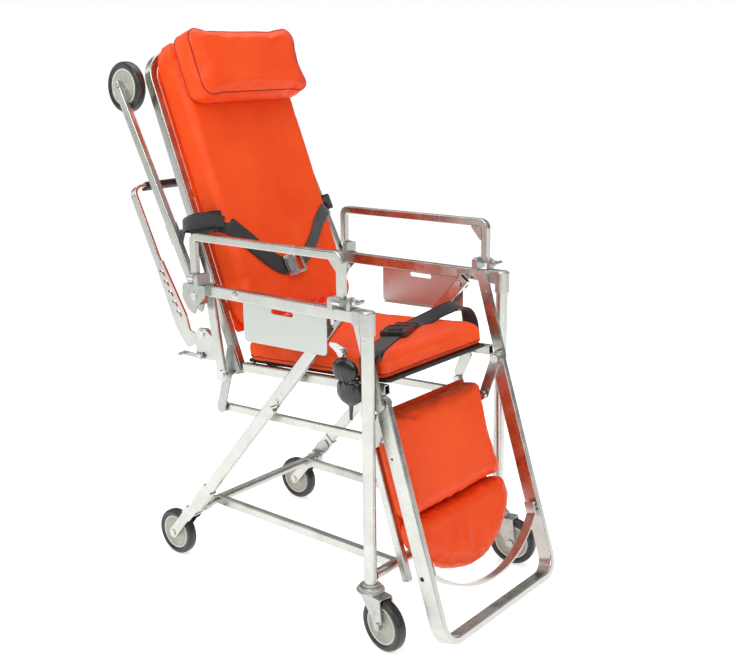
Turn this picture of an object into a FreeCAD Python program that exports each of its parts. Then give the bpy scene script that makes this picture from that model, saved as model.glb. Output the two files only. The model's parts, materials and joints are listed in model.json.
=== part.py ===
import FreeCAD, Part
import math
import os

from FreeCAD import Vector

# Convertible chair stretcher: a wheeled aluminium ambulance chair whose back and leg rest
# turn together into a flat stretcher.
# Millimetres. +X is the way the seated person faces, +Y is their left and +Z is up.
# Places along X and Z are first measured from a point low in the rear wheels. export() then
# moves every piece so that the origin lies on the floor under the middle of the whole length.
# Right-hand pieces lie at -Y. Each pair is drawn once, at +Y, and mirrored.

ORIGIN_X = 380.4
FLOOR_Z = 14.0

# --- driving dimensions ---------------------------------------------------------------------
WHEEL_R = 59.0
WHEEL_W = 26.0
AXLE_Z = FLOOR_Z + WHEEL_R

RAIL_Y = 251.0            # centre of each top rail, and of the post below its front end
RAIL_Z = 737.0
RAIL_W = 20.0
RAIL_H = 26.0
RAIL_X0 = 205.0
RAIL_X1 = 666.0
TUBE_WALL = 2.0

POST_X = 684.0
POST_R = 14.0
POST_FOOT_Z = 150.0

LEG_PIVOT = (583.0, 715.0)
LEG_Y0 = 220.0
LEG_Y1 = 236.0
LEG_DEPTH = 28.0
REAR_WHEEL_Y = 228.0
REAR_AXLE = (25.0, AXLE_Z)

PANEL_SLOT = (415.0, 480.0, 709.0, 720.0)

BASE_Z = 165.0
BASE_REAR_X = 116.0
BASE_BAR_Y = 165.0

BACK_PIVOT = (222.0, 530.0)
BACK_ANGLE = 111.3
BACK_FRAME_Y = 197.0
BACK_FRAME_REAR = -32.0   # back frame's centre plane, measured rearwards from the pivot
BACK_TOP = 768.0
BACK_CUSHION = (82.0, 785.0, 196.0, 107.0, 49.0)
PILLOW = (613.0, 789.0, 183.0, 181.0, 108.0)

BELT_END = 346.0          # chest belt at the cushion's sides, along the back
BELT_DIP = 196.0          # and at its buckle

SEAT_ORIGIN = (262.0, 549.0)
SEAT_ANGLE = 3.4
SEAT_RAIL_Y = 197.0
SEAT_LENGTH = 430.0
SEAT_START = 8.0          # rails stop short of the back frame, which swings past them

LEGREST_PIVOT = (697.0, 550.0)
LEGREST_ANGLE = -72.7
LEGREST_Y = 219.0
LEGREST_DEPTH = 36.0
LEGREST_LENGTH = 525.0
PAD_PIVOT = (637.0, 563.0)
PAD_Y = 185.0

CRANK_ARM = 97.0
CRANK_ANGLE = 252.0
ROD_Y = 197.0

LOADING_PIVOT = (186.0, 722.0)
LOADING_LENGTH = 525.0
LOADING_ANGLE = 117.0
LOADING_LEG_Y = 259.0
LOADING_WHEEL_Y = 236.0

HANDLE_FOOT = (100.0, 555.0)
HANDLE_PIVOT = (158.0, 618.0)
HANDLE_ANGLE = 116.0
HANDLE_LENGTH = 435.0
HANDLE_Y = 216.0
HANDLE_LIFT = -5.0
LEVER_PIVOT = (160.0, 566.0)
LEVER_Y = -240.0          # outer face of the release lever, right side only

ARM_Y = 264.0
ARM_PIVOT_Y = 274.0
ARM_PIVOT_Z = 768.0
ARM_TOP_Z = 860.0
ARM_REAR_X = 188.0
ARM_FRONT_X = 629.0

CASTER_Y = RAIL_Y
CASTER_TRAIL = (42.0, -7.0)   # right-hand wheel centre from its swivel axis, along X and Y

RUNNING = 0.05            # radial clearance of a pin that turns in its hole
GAP = 1.0                 # side clearance between parts that turn past each other

parts = {}


# --- shape helpers --------------------------------------------------------------------------
def unit(angle):
    """Direction in the XZ plane, in degrees from +X towards +Z."""
    return Vector(math.cos(math.radians(angle)), 0, math.sin(math.radians(angle)))


def point_on(origin, angle, along, lift=0.0):
    """(x, z) of a point in the turned frame that place() uses."""
    d = unit(angle)
    return (origin[0] + along * d.x - lift * d.z, origin[1] + along * d.z + lift * d.x)


def place(shape, origin, angle):
    """Turn a shape drawn along local +X about Y, then move it to origin in the XZ plane."""
    out = shape.copy()
    out.rotate(Vector(0, 0, 0), Vector(0, 1, 0), -angle)
    out.translate(Vector(origin[0], 0, origin[1]))
    return out


def fuse(shapes):
    shapes = list(shapes)
    out = shapes[0]
    if len(shapes) > 1:
        out = out.multiFuse(shapes[1:])
    return out.removeSplitter()


def mirrored(shape):
    return shape.mirror(Vector(0, 0, 0), Vector(0, 1, 0))


def both(shape):
    return [shape, mirrored(shape)]


def box(x0, x1, y0, y1, z0, z1):
    return Part.makeBox(x1 - x0, y1 - y0, z1 - z0, Vector(x0, y0, z0))


def rod_x(y, z, r, x0, x1):
    return Part.makeCylinder(r, x1 - x0, Vector(x0, y, z), Vector(1, 0, 0))


def rod_y(x, z, r, y0, y1):
    return Part.makeCylinder(r, y1 - y0, Vector(x, y0, z), Vector(0, 1, 0))


def rod_z(x, y, r, z0, z1):
    return Part.makeCylinder(r, z1 - z0, Vector(x, y, z0), Vector(0, 0, 1))


def rounded_edges(points, radii, closed):
    """Straight runs joined by tangent arcs, one radius for each point."""
    count = len(points)
    starts = []
    ends = []
    arcs = []
    for i, p in enumerate(points):
        r = radii[i]
        inner = closed or 0 < i < count - 1
        if r <= 0 or not inner:
            starts.append(p)
            ends.append(p)
            arcs.append(None)
            continue
        before = (points[i - 1] - p).normalize()
        after = (points[(i + 1) % count] - p).normalize()
        half = before.getAngle(after) / 2
        tangent = r / math.tan(half)
        middle = (before + after).normalize()
        a = p + before * tangent
        b = p + after * tangent
        starts.append(a)
        ends.append(b)
        arcs.append(Part.Arc(a, p + middle * (r / math.sin(half) - r), b).toShape())
    edges = []
    for i in range(count):
        if arcs[i] is not None:
            edges.append(arcs[i])
        j = (i + 1) % count
        if j == 0 and not closed:
            break
        if ends[i].distanceToPoint(starts[j]) > 1e-6:
            edges.append(Part.LineSegment(ends[i], starts[j]).toShape())
    return edges


def as_list(radius, count):
    return list(radius) if isinstance(radius, (list, tuple)) else [radius] * count


def plate(points, y0, y1, radius=0.0):
    """A flat piece with an XZ outline, between two Y planes."""
    corners = [Vector(x, y0, z) for x, z in points]
    wire = Part.Wire(rounded_edges(corners, as_list(radius, len(corners)), True))
    return Part.Face(wire).extrude(Vector(0, y1 - y0, 0))


def slab(points, z0, z1, radius=0.0):
    """A flat piece with an XY outline, between two heights."""
    corners = [Vector(x, y, z0) for x, y in points]
    wire = Part.Wire(rounded_edges(corners, as_list(radius, len(corners)), True))
    return Part.Face(wire).extrude(Vector(0, 0, z1 - z0))


def section(start, direction, across, width, height, radius):
    """A rounded rectangle square to the path at its start."""
    side = across.normalize()
    up = direction.cross(side).normalize()
    corners = []
    for a, b in ((-1, -1), (1, -1), (1, 1), (-1, 1)):
        corners.append(start + side * (a * width / 2) + up * (b * height / 2))
    return Part.Wire(rounded_edges(corners, [radius] * 4, True))


def swept(points, radii, across, width, height, wall=TUBE_WALL, corner=3.0):
    """A rectangular tube along a bent path. across is the width's direction at the start."""
    direction = (points[1] - points[0]).normalize()
    outer = section(points[0], direction, across, width, height, corner)
    hole = section(points[0], direction, across, width - 2 * wall, height - 2 * wall, 0)
    if len(points) == 2:
        run = points[1] - points[0]
        return Part.Face(outer).extrude(run).cut(Part.Face(hole).extrude(run))
    path = Part.Wire(rounded_edges(points, as_list(radii, len(points)), False))
    return path.makePipeShell([outer], True, False).cut(path.makePipeShell([hole], True, False))


def bar(length, y0, y1, depth, wall=TUBE_WALL, corner=3.0, start=0.0):
    """A straight rectangular tube along local +X."""
    middle = (y0 + y1) / 2
    points = [Vector(start, middle, 0), Vector(start + length, middle, 0)]
    return swept(points, 0, Vector(0, 1, 0), y1 - y0, depth, wall, corner)


def round_tube(points, r, wall=TUBE_WALL):
    run = points[1] - points[0]
    outer = Part.makeCylinder(r, run.Length, points[0], run)
    return outer.cut(Part.makeCylinder(r - wall, run.Length, points[0], run))


def link(a, b, r, y0, y1):
    """A flat link with round ends about two XZ points."""
    run = Vector(b[0] - a[0], 0, b[1] - a[1])
    side = Vector(-run.z, 0, run.x).normalize() * r
    corners = []
    for p, s in ((a, 1), (b, 1), (b, -1), (a, -1)):
        corners.append((p[0] + s * side.x, p[1] + s * side.z))
    web = plate(corners, y0, y1)
    return fuse([web, rod_y(a[0], a[1], r, y0, y1), rod_y(b[0], b[1], r, y0, y1)])


def cushion(x0, x1, half_y, z0, z1, corner, edge):
    """A plain pad with rounded corners in plan and rolled edges."""
    points = [(x0, -half_y), (x1, -half_y), (x1, half_y), (x0, half_y)]
    body = slab(points, z0, z1, corner)
    return body.makeFillet(edge, body.Edges)


def stud(x, z, r, y0, y1, head):
    """A stud welded flush in the outer part, with a round nut inside."""
    return fuse([rod_y(x, z, r, y0, y1), rod_y(x, z, r * 1.7, y0 - head, y0)])


def bolt(x, z, r, y0, y1, head=3.5):
    """A bolt along Y with a low round head outside and a nut inside."""
    return fuse([stud(x, z, r, y0, y1, head), rod_y(x, z, r * 1.9, y1, y1 + head)])


def add(name, shape):
    parts[name] = shape


def add_pair(stem, left):
    parts[stem + "_left"] = left
    parts[stem + "_right"] = mirrored(left)


def export():
    os.makedirs("parts", exist_ok=True)
    for name, shape in parts.items():
        out = shape.copy()
        out.translate(Vector(-ORIGIN_X, 0, -FLOOR_Z))
        out.exportStep("parts/" + name + ".step")


# --- wheels ---------------------------------------------------------------------------------
HUB_R = 43.0
AXLE_R = 5.0
HUB_BOSS_R = 11.0


def revolve_y(points, x, y, z):
    """Turn a closed (radius, offset) outline about the Y axis through a centre."""
    corners = [Vector(r, offset, 0) for r, offset in points]
    edges = []
    for i, p in enumerate(corners):
        edges.append(Part.LineSegment(p, corners[(i + 1) % len(corners)]).toShape())
    face = Part.Face(Part.Wire(edges))
    solid = face.revolve(Vector(0, 0, 0), Vector(0, 1, 0), 360)
    solid.translate(Vector(x, y, z))
    return solid


def tyre(x, y, z):
    half = WHEEL_W / 2
    shoulder = 5.0
    return revolve_y(
        [
            (HUB_R, -half + 2),
            (WHEEL_R - shoulder, -half),
            (WHEEL_R - 1, -half + shoulder),
            (WHEEL_R, 0),
            (WHEEL_R - 1, half - shoulder),
            (WHEEL_R - shoulder, half),
            (HUB_R, half - 2),
        ],
        x, y, z,
    )


def hub(x, y, z):
    """Dished hub disc with a raised rim and a longer boss that runs on the axle."""
    half = WHEEL_W / 2
    rim = 38.0
    dish = 5.0
    bore = AXLE_R + RUNNING
    return revolve_y(
        [
            (bore, -half),
            (HUB_BOSS_R, -half),
            (HUB_BOSS_R + 3, -dish),
            (rim - 3, -dish),
            (rim, -half + 3),
            (HUB_R, -half + 3),
            (HUB_R, half - 3),
            (rim, half - 3),
            (rim - 3, dish),
            (HUB_BOSS_R + 3, dish),
            (HUB_BOSS_R, half),
            (bore, half),
        ],
        x, y, z,
    )


def add_wheel(stem, side, x, y, z):
    add(stem + "_tyre_" + side, tyre(x, y, z))
    add(stem + "_hub_" + side, hub(x, y, z))


# --- fixed frame ----------------------------------------------------------------------------
def top_rail():
    tube = bar(RAIL_X1 - RAIL_X0, RAIL_Y - RAIL_W / 2, RAIL_Y + RAIL_W / 2, RAIL_H)
    rail = place(tube, (RAIL_X0, RAIL_Z), 0)
    plug_w = RAIL_W / 2 - TUBE_WALL
    plug_h = RAIL_H / 2 - TUBE_WALL
    plug = box(RAIL_X0, RAIL_X0 + 12, RAIL_Y - plug_w, RAIL_Y + plug_w, RAIL_Z - plug_h, RAIL_Z + plug_h)
    return fuse([rail, plug])


def front_post():
    points = [Vector(POST_X, RAIL_Y, POST_FOOT_Z), Vector(POST_X, RAIL_Y, RAIL_Z - RAIL_H / 2)]
    return round_tube(points, POST_R)


def post_elbow():
    """Cast elbow over the post's top, with a square socket for the rail."""
    r = POST_R + 3
    low = RAIL_Z - RAIL_H / 2 - 22
    top = RAIL_Z + RAIL_H / 2 + 3
    cup = rod_z(POST_X, RAIL_Y, r, low, top)
    cup = cup.makeFillet(6, [e for e in cup.Edges if abs(e.BoundBox.ZMin - top) < 0.01])
    half_w = RAIL_W / 2 + 3
    half_h = RAIL_H / 2 + 3
    socket = box(RAIL_X1 - 12, POST_X, RAIL_Y - half_w, RAIL_Y + half_w, RAIL_Z - half_h, RAIL_Z + half_h)
    socket = socket.makeFillet(3, [e for e in socket.Edges if e.BoundBox.XLength > 1])
    y0 = RAIL_Y - RAIL_W / 2
    z0 = RAIL_Z - RAIL_H / 2
    rail_room = box(RAIL_X1 - 30, RAIL_X1, y0, y0 + RAIL_W, z0, z0 + RAIL_H)
    post_room = rod_z(POST_X, RAIL_Y, POST_R, low - 1, RAIL_Z - RAIL_H / 2)
    return fuse([cup, socket]).cut(rail_room).cut(post_room)


def rear_bracket():
    """Folded bracket at the rail's rear end: two cheeks and a web round the loading leg's foot."""
    cheek = [(224, 724), (224, 750), (150, 750), (146, 716), (163, 690), (186, 678), (196, 700)]
    corners = [3, 3, 8, 8, 6, 5, 6]
    inner = plate(cheek, 246.0, 249.0, corners)
    outer = plate(cheek, 269.0, 272.0, corners)
    web = box(199.5, 204.5, 246.0, 272.0, 704, 750)
    clip = box(204.5, 224, 261.0, 269.5, 726, 748)
    rail_room = box(204.9, 230, 240, 250, 670, 760)
    hole = rod_y(LOADING_PIVOT[0], LOADING_PIVOT[1], 5, 240, 280)
    return fuse([inner.cut(rail_room), outer, web, clip]).cut(hole)


def side_panel():
    """Thin sheet below the rail with a hand slot and a folded lower edge."""
    top = RAIL_Z - RAIL_H / 2
    sheet = plate([(328, top), (575, top), (575, 640), (328, 634)], RAIL_Y - 1, RAIL_Y + 1, [0, 0, 10, 10])
    fold = plate([(338, 634.3), (565, 639.7), (565, 641.7), (338, 636.3)], RAIL_Y - 10, RAIL_Y)
    return fuse([sheet, fold]).cut(plate(slot_outline(), RAIL_Y - 20, RAIL_Y + 20, 5.4))


def slot_outline():
    x0, x1, z0, z1 = PANEL_SLOT
    return [(x0, z0), (x1, z0), (x1, z1), (x0, z1)]


def hanger():
    """Flat bar from the rail down to the seat's front corner and the leg rest's pivot."""
    top = (642.0, 738.0)
    foot = LEGREST_PIVOT
    shape = link(top, foot, 13, 229.0, 237.0)
    hole = rod_y(foot[0], foot[1], 6, 220, 245)
    lighten = rod_y(655, 702, 3, 220, 245)
    spacer = rod_y(top[0], top[1], 11, 237.0, 241.0)
    return fuse([shape, spacer]).cut(hole).cut(lighten)


def rear_upright():
    """Wide flat tube from the rail's rear end down to the backrest pivot."""
    top = (190.0, 742.0)
    run = Vector(BACK_PIVOT[0] - top[0], 0, BACK_PIVOT[1] - top[1])
    angle = math.degrees(math.atan2(run.z, run.x))
    tube = place(bar(run.Length, 222.0, 232.0, 28.0), top, angle)
    eye = rod_y(BACK_PIVOT[0], BACK_PIVOT[1], 17, 222.0, 232.0)
    hole = rod_y(BACK_PIVOT[0], BACK_PIVOT[1], 6, 215, 240)
    spacer = box(206, 222, 232.0, 241.0, 727, 747)
    foot = box(196, 222, 224.0, 232.0, 727, 747)
    arm = plate([(206, 562), (206, 612), (172, 634), (147, 632), (138, 600), (140, 556)], 222.0, 232.0, 6)
    lever_boss = rod_y(LEVER_PIVOT[0], LEVER_PIVOT[1], 9, 222.0, 232.0)
    arm_hole = rod_y(HANDLE_PIVOT[0], HANDLE_PIVOT[1], 6, 215, 240)
    return fuse([tube, eye, spacer, foot, arm, lever_boss]).cut(hole).cut(arm_hole)


def rear_leg():
    shape = bar(leg_length() - 152, LEG_Y0, LEG_Y1, LEG_DEPTH, start=-18)
    tube = place(shape, LEG_PIVOT, leg_angle())
    stop = rod_y(398, 482, 9, 236.0, 250.0)
    lug = link((398, 482), (405, 500), 6, 236.0, 239.0)
    hole = rod_y(LEG_PIVOT[0], LEG_PIVOT[1], 4, 200, 260)
    return fuse([tube, stop, lug]).cut(hole)


def leg_angle():
    return math.degrees(math.atan2(REAR_AXLE[1] - LEG_PIVOT[1], REAR_AXLE[0] - LEG_PIVOT[0]))


def leg_length():
    return math.hypot(LEG_PIVOT[0] - REAR_AXLE[0], LEG_PIVOT[1] - REAR_AXLE[1])


def rear_fork():
    """Sleeve over the leg's lower end, spread into two blades that hold the wheel."""
    start = leg_length() - 170
    sleeve = bar(62, LEG_Y0 - 2.5, LEG_Y1 + 2.5, LEG_DEPTH + 5, wall=2.4, start=start - 30)
    neck = box(start + 16, start + 66, LEG_Y0 - 2.5, LEG_Y1 + 2.5, -14, 14)
    spread = WHEEL_W / 2 + 2.5
    yoke = box(start + 64, start + 92, REAR_WHEEL_Y - spread - 3, REAR_WHEEL_Y + spread + 3, -16, 16)
    inside = box(start + 70, start + 122, REAR_WHEEL_Y - spread, REAR_WHEEL_Y + spread, -20, 20)
    solids = [sleeve, neck, yoke.cut(inside)]
    axle = leg_length()
    for side in (-1, 1):
        y = REAR_WHEEL_Y + side * (spread + 1.5)
        blade = link((start + 80, 0), (axle, 0), 13, y - 1.5, y + 1.5)
        solids.append(blade)
    reach = spread + 6
    solids.append(rod_y(axle, 0, AXLE_R, REAR_WHEEL_Y - reach, REAR_WHEEL_Y + reach))
    for y in (REAR_WHEEL_Y - reach, REAR_WHEEL_Y + spread + 3):
        solids.append(rod_y(axle, 0, 8.5, y, y + 3))
    fork = fuse(solids)
    return place(fork, LEG_PIVOT, leg_angle())


def base_frame():
    """Welded floor frame: two side bars, a round rear crossbar and the tube between the posts."""
    solids = []
    for side in (-1, 1):
        points = [Vector(BASE_REAR_X, side * BASE_BAR_Y, BASE_Z), Vector(POST_X, side * BASE_BAR_Y, BASE_Z)]
        solids.append(swept(points, 0, Vector(0, 1, 0), 16.0, 22.0))
    rear = Part.makeCylinder(11, 2 * 204, Vector(BASE_REAR_X, -204, BASE_Z), Vector(0, 1, 0))
    front_end = RAIL_Y - POST_R
    front = Part.makeCylinder(11, 2 * front_end, Vector(POST_X, -front_end, BASE_Z), Vector(0, 1, 0))
    frame = fuse(solids + [rear, front])
    for x, reach in ((BASE_REAR_X, 205), (POST_X, front_end + 1)):
        frame = frame.cut(Part.makeCylinder(9, 2 * reach, Vector(x, -reach, BASE_Z), Vector(0, 1, 0)))
    return frame


def corner_bracket():
    """Folded angle that ties the base frame's rear corner to the leg's sleeve."""
    outline = [(98, 178), (140, 178), (160, 198), (144, 218), (118, 206)]
    outer = LEG_Y0 - 2.5
    cheek = plate(outline, outer - 3.5, outer, 4)
    foot = box(102, 136, 204.0, outer, 177.0, 180.5)
    cup = rod_y(BASE_REAR_X, BASE_Z, 14.5, 200.0, outer)
    return fuse([cheek, foot, cup]).cut(rod_y(BASE_REAR_X, BASE_Z, 11, 190, 204.0))


def seat_frame():
    """Welded seat frame: two side rails and two round cross tubes."""
    solids = []
    for side in (-1, 1):
        y = side * SEAT_RAIL_Y
        solids.append(bar(SEAT_LENGTH - SEAT_START, y - 9, y + 9, 22.0, start=SEAT_START))
    crosses = []
    for x in (60.0, 335.0):
        crosses.append(Part.makeCylinder(9, 2 * 189, Vector(x, -189, -2), Vector(0, 1, 0)))
    frame = fuse(solids + crosses)
    for x in (60.0, 335.0):
        frame = frame.cut(Part.makeCylinder(7, 2 * 188.5, Vector(x, -188.5, -2), Vector(0, 1, 0)))
    return fuse([place(frame, SEAT_ORIGIN, SEAT_ANGLE)] + both(seat_hinge_plate()))


def seat_hinge_plate():
    """Plate that carries the seat frame's rear end from the backrest pivot bolt."""
    rear = point_on(SEAT_ORIGIN, SEAT_ANGLE, 24)
    shape = link(rear, BACK_PIVOT, 10, 182.0, 186.5)
    weld = rod_y(rear[0], rear[1], 9, 186.5, 188.0)
    return fuse([shape, weld]).cut(rod_y(BACK_PIVOT[0], BACK_PIVOT[1], 6, 170, 200))


def pad_pin():
    """Pin on the seat rail that the calf pad's frame hangs from."""
    return rod_y(PAD_PIVOT[0], PAD_PIVOT[1], 5, 174.0, 188.0)


def seat_board():
    shape = slab([(4, -186), (426, -186), (426, 186), (4, 186)], 11.0, 16.0, 12)
    return place(shape, SEAT_ORIGIN, SEAT_ANGLE)


def seat_cushion():
    return place(cushion(2, 424, 200, 16.3, 66.0, 30, 12), SEAT_ORIGIN, SEAT_ANGLE)


# --- straps ---------------------------------------------------------------------------------
def lap_belt():
    """Webbing over the seat cushion, from side to side, with its ends turned down the sides."""
    lift = 66.6
    half = 202.5
    width = 48.0
    thick = 2.4
    x0 = 300.0
    top = box(x0, x0 + width, -half, half, lift, lift + thick)
    sides = []
    for side in (-1, 1):
        y0, y1 = sorted((side * half, side * (half + thick)))
        sides.append(box(x0, x0 + width, y0, y1, 22, lift + thick))
    return place(fuse([top] + sides), SEAT_ORIGIN, SEAT_ANGLE)


def lap_buckle():
    shape = slab([(292, -62), (356, -62), (356, 2), (292, 2)], 69.2, 79.0, 8)
    window = slab([(304, -50), (344, -50), (344, -12), (304, -12)], 74.5, 80.0, 4)
    return place(shape.cut(window), SEAT_ORIGIN, SEAT_ANGLE)


def strap_grip():
    """Soft black pouch of two lobes that hangs outside the right leg, with its strap and knob."""
    upper = Part.makeSphere(1.0)
    matrix = FreeCAD.Matrix()
    matrix.scale(26, 8.5, 27)
    matrix.move(Vector(621, -246.5, 619))
    lower_matrix = FreeCAD.Matrix()
    lower_matrix.scale(27, 8.5, 30)
    lower_matrix.move(Vector(630, -246.5, 570))
    top_lobe = upper.transformGeometry(matrix)
    low_lobe = upper.transformGeometry(lower_matrix)
    strap = box(628, 638, -248, -245, 508, 560)
    return fuse([top_lobe, low_lobe, strap])


def grip_knob():
    """Knob on the side panel's front edge, which the pouch hangs from."""
    stem = rod_y(618, 655, 4, -253, -249)
    head = rod_y(618, 655, 8, -261, -253)
    tab = plate([(568, 672), (600, 672), (628, 662), (626, 648), (608, 646)], -249.9, -247.4, 5)
    return fuse([stem, head, tab])


# --- backrest -------------------------------------------------------------------------------
def back_frame():
    z = BACK_FRAME_REAR
    y = BACK_FRAME_Y
    points = [Vector(4, y, z), Vector(BACK_TOP, y, z), Vector(BACK_TOP, -y, z), Vector(4, -y, z)]
    loop = swept(points, [0, 62, 62, 0], Vector(0, 1, 0), 20.0, 25.0)
    crosses = []
    for x in (150.0, 430.0):
        crosses.append(box(x - 10, x + 10, -y + 9.5, y - 9.5, z - 4, z + 10))
    return place(fuse([loop] + crosses), BACK_PIVOT, BACK_ANGLE)


def back_board():
    front = BACK_FRAME_REAR - 12.5
    shape = slab([(84, -188), (758, -188), (758, 188), (84, 188)], front - 4, front, [10, 55, 55, 10])
    return place(shape, BACK_PIVOT, BACK_ANGLE)


def back_cushion():
    x0, x1, half, front, rear = BACK_CUSHION
    return place(cushion(x0, x1, half, -front, -rear, 48, 14), BACK_PIVOT, BACK_ANGLE)


def head_pillow():
    x0, x1, half, front, rear = PILLOW
    return place(cushion(x0, x1, half, -front, -rear, 34, 14), BACK_PIVOT, BACK_ANGLE)


def crank_pin():
    d = unit(CRANK_ANGLE)
    return (BACK_PIVOT[0] + CRANK_ARM * d.x, BACK_PIVOT[1] + CRANK_ARM * d.z)


def front_crank_pin():
    d = unit(CRANK_ANGLE)
    return (LEGREST_PIVOT[0] + CRANK_ARM * d.x, LEGREST_PIVOT[1] + CRANK_ARM * d.z)


def back_crank():
    """Outer crank plate: bolted to the back tube, turns on the pivot and drives the rod."""
    pin = crank_pin()
    up = point_on(BACK_PIVOT, BACK_ANGLE, 46, BACK_FRAME_REAR)
    low = point_on(BACK_PIVOT, BACK_ANGLE, 10, BACK_FRAME_REAR)
    y0 = 207.2
    y1 = 210.8
    web = fuse([
        link(BACK_PIVOT, pin, 13, y0, y1),
        link(BACK_PIVOT, up, 13, y0, y1),
        link(low, up, 12, y0, y1),
        link(BACK_PIVOT, low, 12, y0, y1),
    ])
    stud = rod_y(pin[0], pin[1], 5, 190.0, y0 + 0.5)
    hub_hole = rod_y(BACK_PIVOT[0], BACK_PIVOT[1], 6 + RUNNING, 180, 220)
    return fuse([web, stud]).cut(hub_hole)


def chest_belt():
    """Webbing that hangs in a V on the back cushion, its ends turned round the frame."""
    thick = 2.4
    front = -(BACK_CUSHION[3] + 0.8)
    half = BACK_CUSHION[2] + 1.5
    dip = BELT_DIP
    end = BELT_END
    reach = 31.0                      # half the webbing's width, measured along the cushion
    solids = []
    for side in (-1, 1):
        band = [
            (end - reach, side * half), (end + reach, side * half), (dip + reach, 0), (dip - reach, 0)
        ]
        solids.append(slab(band, front - thick, front))
        inner, outer = sorted((side * half, side * (half + thick)))
        solids.append(box(end - reach, end + reach, inner, outer, front - thick, -46))
    return place(fuse(solids), BACK_PIVOT, BACK_ANGLE)


def chest_buckle():
    """Pressed buckle with a window, at the bottom of the belt's V."""
    front = -(BACK_CUSHION[3] + 3.6)
    low = BELT_DIP - 27
    high = BELT_DIP + 27
    shape = slab([(low, -42), (high, -42), (high, 42), (low, 42)], front - 7, front, 7)
    corners = [(low + 11, -26), (high - 11, -26), (high - 11, 20), (low + 11, 20)]
    window = slab(corners, front - 8, front - 4, 4)
    return place(shape.cut(window), BACK_PIVOT, BACK_ANGLE)


# --- push handle with its notched racks -----------------------------------------------------
def handle_plate():
    """Notched rack plate at the foot of each handle side, hooked forward to its pivot."""
    y0 = HANDLE_Y - 3
    y1 = HANDLE_Y + 3
    outline = [
        (18, -2), (18, -96), (42, -96), (42, -44), (56, -30), (92, -36),
        (240, -21), (240, 5), (119, 12), (84, 13), (56, 9),
    ]
    body = plate(outline, y0, y1, [12, 11, 11, 10, 8, 16, 4, 4, 16, 16, 16])
    notches = []
    for i in range(5):
        x = 96 + 27 * i
        z = -17 + 0.07 * (x - 96)
        notches.append(link((x, z - 3), (x + 12, z), 3.2, y0 - 2, y1 + 2))
        notches.append(link((x + 12, z), (x + 14, z + 6), 3.2, y0 - 2, y1 + 2))
    return body.cut(fuse(notches))


def push_handle():
    y = HANDLE_Y
    start = 228.0
    end = HANDLE_LENGTH
    lift = HANDLE_LIFT
    points = [Vector(start, y, lift), Vector(end, y, lift), Vector(end, -y, lift), Vector(start, -y, lift)]
    loop = swept(points, [0, 24, 24, 0], Vector(0, 1, 0), 8.0, 22.0, wall=1.5, corner=2.5)
    handle = place(fuse([loop] + both(handle_plate())), HANDLE_FOOT, HANDLE_ANGLE)
    return handle.cut(rod_y(HANDLE_PIVOT[0], HANDLE_PIVOT[1], 6 + RUNNING, -240, 240))


def handle_grips():
    """Two black end grips where the handle's sides meet its crossbar."""
    grips = []
    for side in (-1, 1):
        y0, y1 = sorted((side * 60.0, side * 175.0))
        grip = box(HANDLE_LENGTH - 8.5, HANDLE_LENGTH + 8.5, y0, y1, HANDLE_LIFT - 15, HANDLE_LIFT + 15)
        grip = grip.makeFillet(7, [e for e in grip.Edges if e.BoundBox.YLength > 1])
        room = box(HANDLE_LENGTH - 4, HANDLE_LENGTH + 4, y0 - 1, y1 + 1, HANDLE_LIFT - 11, HANDLE_LIFT + 11)
        grips.append(grip.cut(room))
    return place(Part.makeCompound(grips), HANDLE_FOOT, HANDLE_ANGLE)


def release_lever():
    """Small bell-crank with a cross grip that frees the right rack."""
    x, z = LEVER_PIVOT
    tip = (x - 58, z)
    y0 = LEVER_Y
    y1 = LEVER_Y + 4
    arm = link(LEVER_PIVOT, tip, 5, y0, y1)
    grip = rod_y(tip[0], tip[1], 4, y0 - 16, y0)
    eye = rod_y(x, z, 8, y0, y1)
    hole = rod_y(x, z, 3 + RUNNING, y0 - 5, y1 + 5)
    return fuse([arm, grip, eye]).cut(hole)


# --- loading legs ---------------------------------------------------------------------------
def loading_leg():
    y0 = LOADING_LEG_Y - 8
    y1 = LOADING_LEG_Y + 8
    tube = bar(LOADING_LENGTH + 12, y0, y1, 22.0)
    foot = rod_y(0, 0, 11, y0, y1)
    collar = bar(46, y0 - 1.2, y1 + 1.2, 26.0, wall=1.2, start=132)
    hole = rod_y(0, 0, 5 + RUNNING, y0 - 5, y1 + 5)
    tip = rod_y(LOADING_LENGTH, 0, 11, y0, y1)
    leg = fuse([tube, foot, collar, tip] + loading_axle()).cut(hole)
    return place(leg, LOADING_PIVOT, LOADING_ANGLE)


def loading_axle():
    x = LOADING_LENGTH
    inside = LOADING_WHEEL_Y - WHEEL_W / 2 - 2
    shaft = rod_y(x, 0, AXLE_R, inside, LOADING_LEG_Y + 12)
    head = rod_y(x, 0, 9, inside - 3, inside)
    cap = rod_y(x, 0, 9, LOADING_LEG_Y + 8, LOADING_LEG_Y + 13)
    return [shaft, head, cap]


# --- leg rest -------------------------------------------------------------------------------
def legrest_frame():
    """Outer U of flat tube with round corners, carrying the driving cranks at its top."""
    y = LEGREST_Y
    length = LEGREST_LENGTH
    points = [Vector(-2, y, 0), Vector(length, y, 0), Vector(length, -y, 0), Vector(-2, -y, 0)]
    loop = swept(points, [0, 42, 42, 0], Vector(0, 1, 0), 16.0, LEGREST_DEPTH)
    eyes = both(rod_y(0, 0, LEGREST_DEPTH / 2, y - 8, y + 8))
    frame = fuse([loop] + eyes)
    frame = place(frame, LEGREST_PIVOT, LEGREST_ANGLE)
    holes = both(rod_y(LEGREST_PIVOT[0], LEGREST_PIVOT[1], 6 + RUNNING, 180, 240))
    return frame.cut(holes[0]).cut(holes[1])


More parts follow.
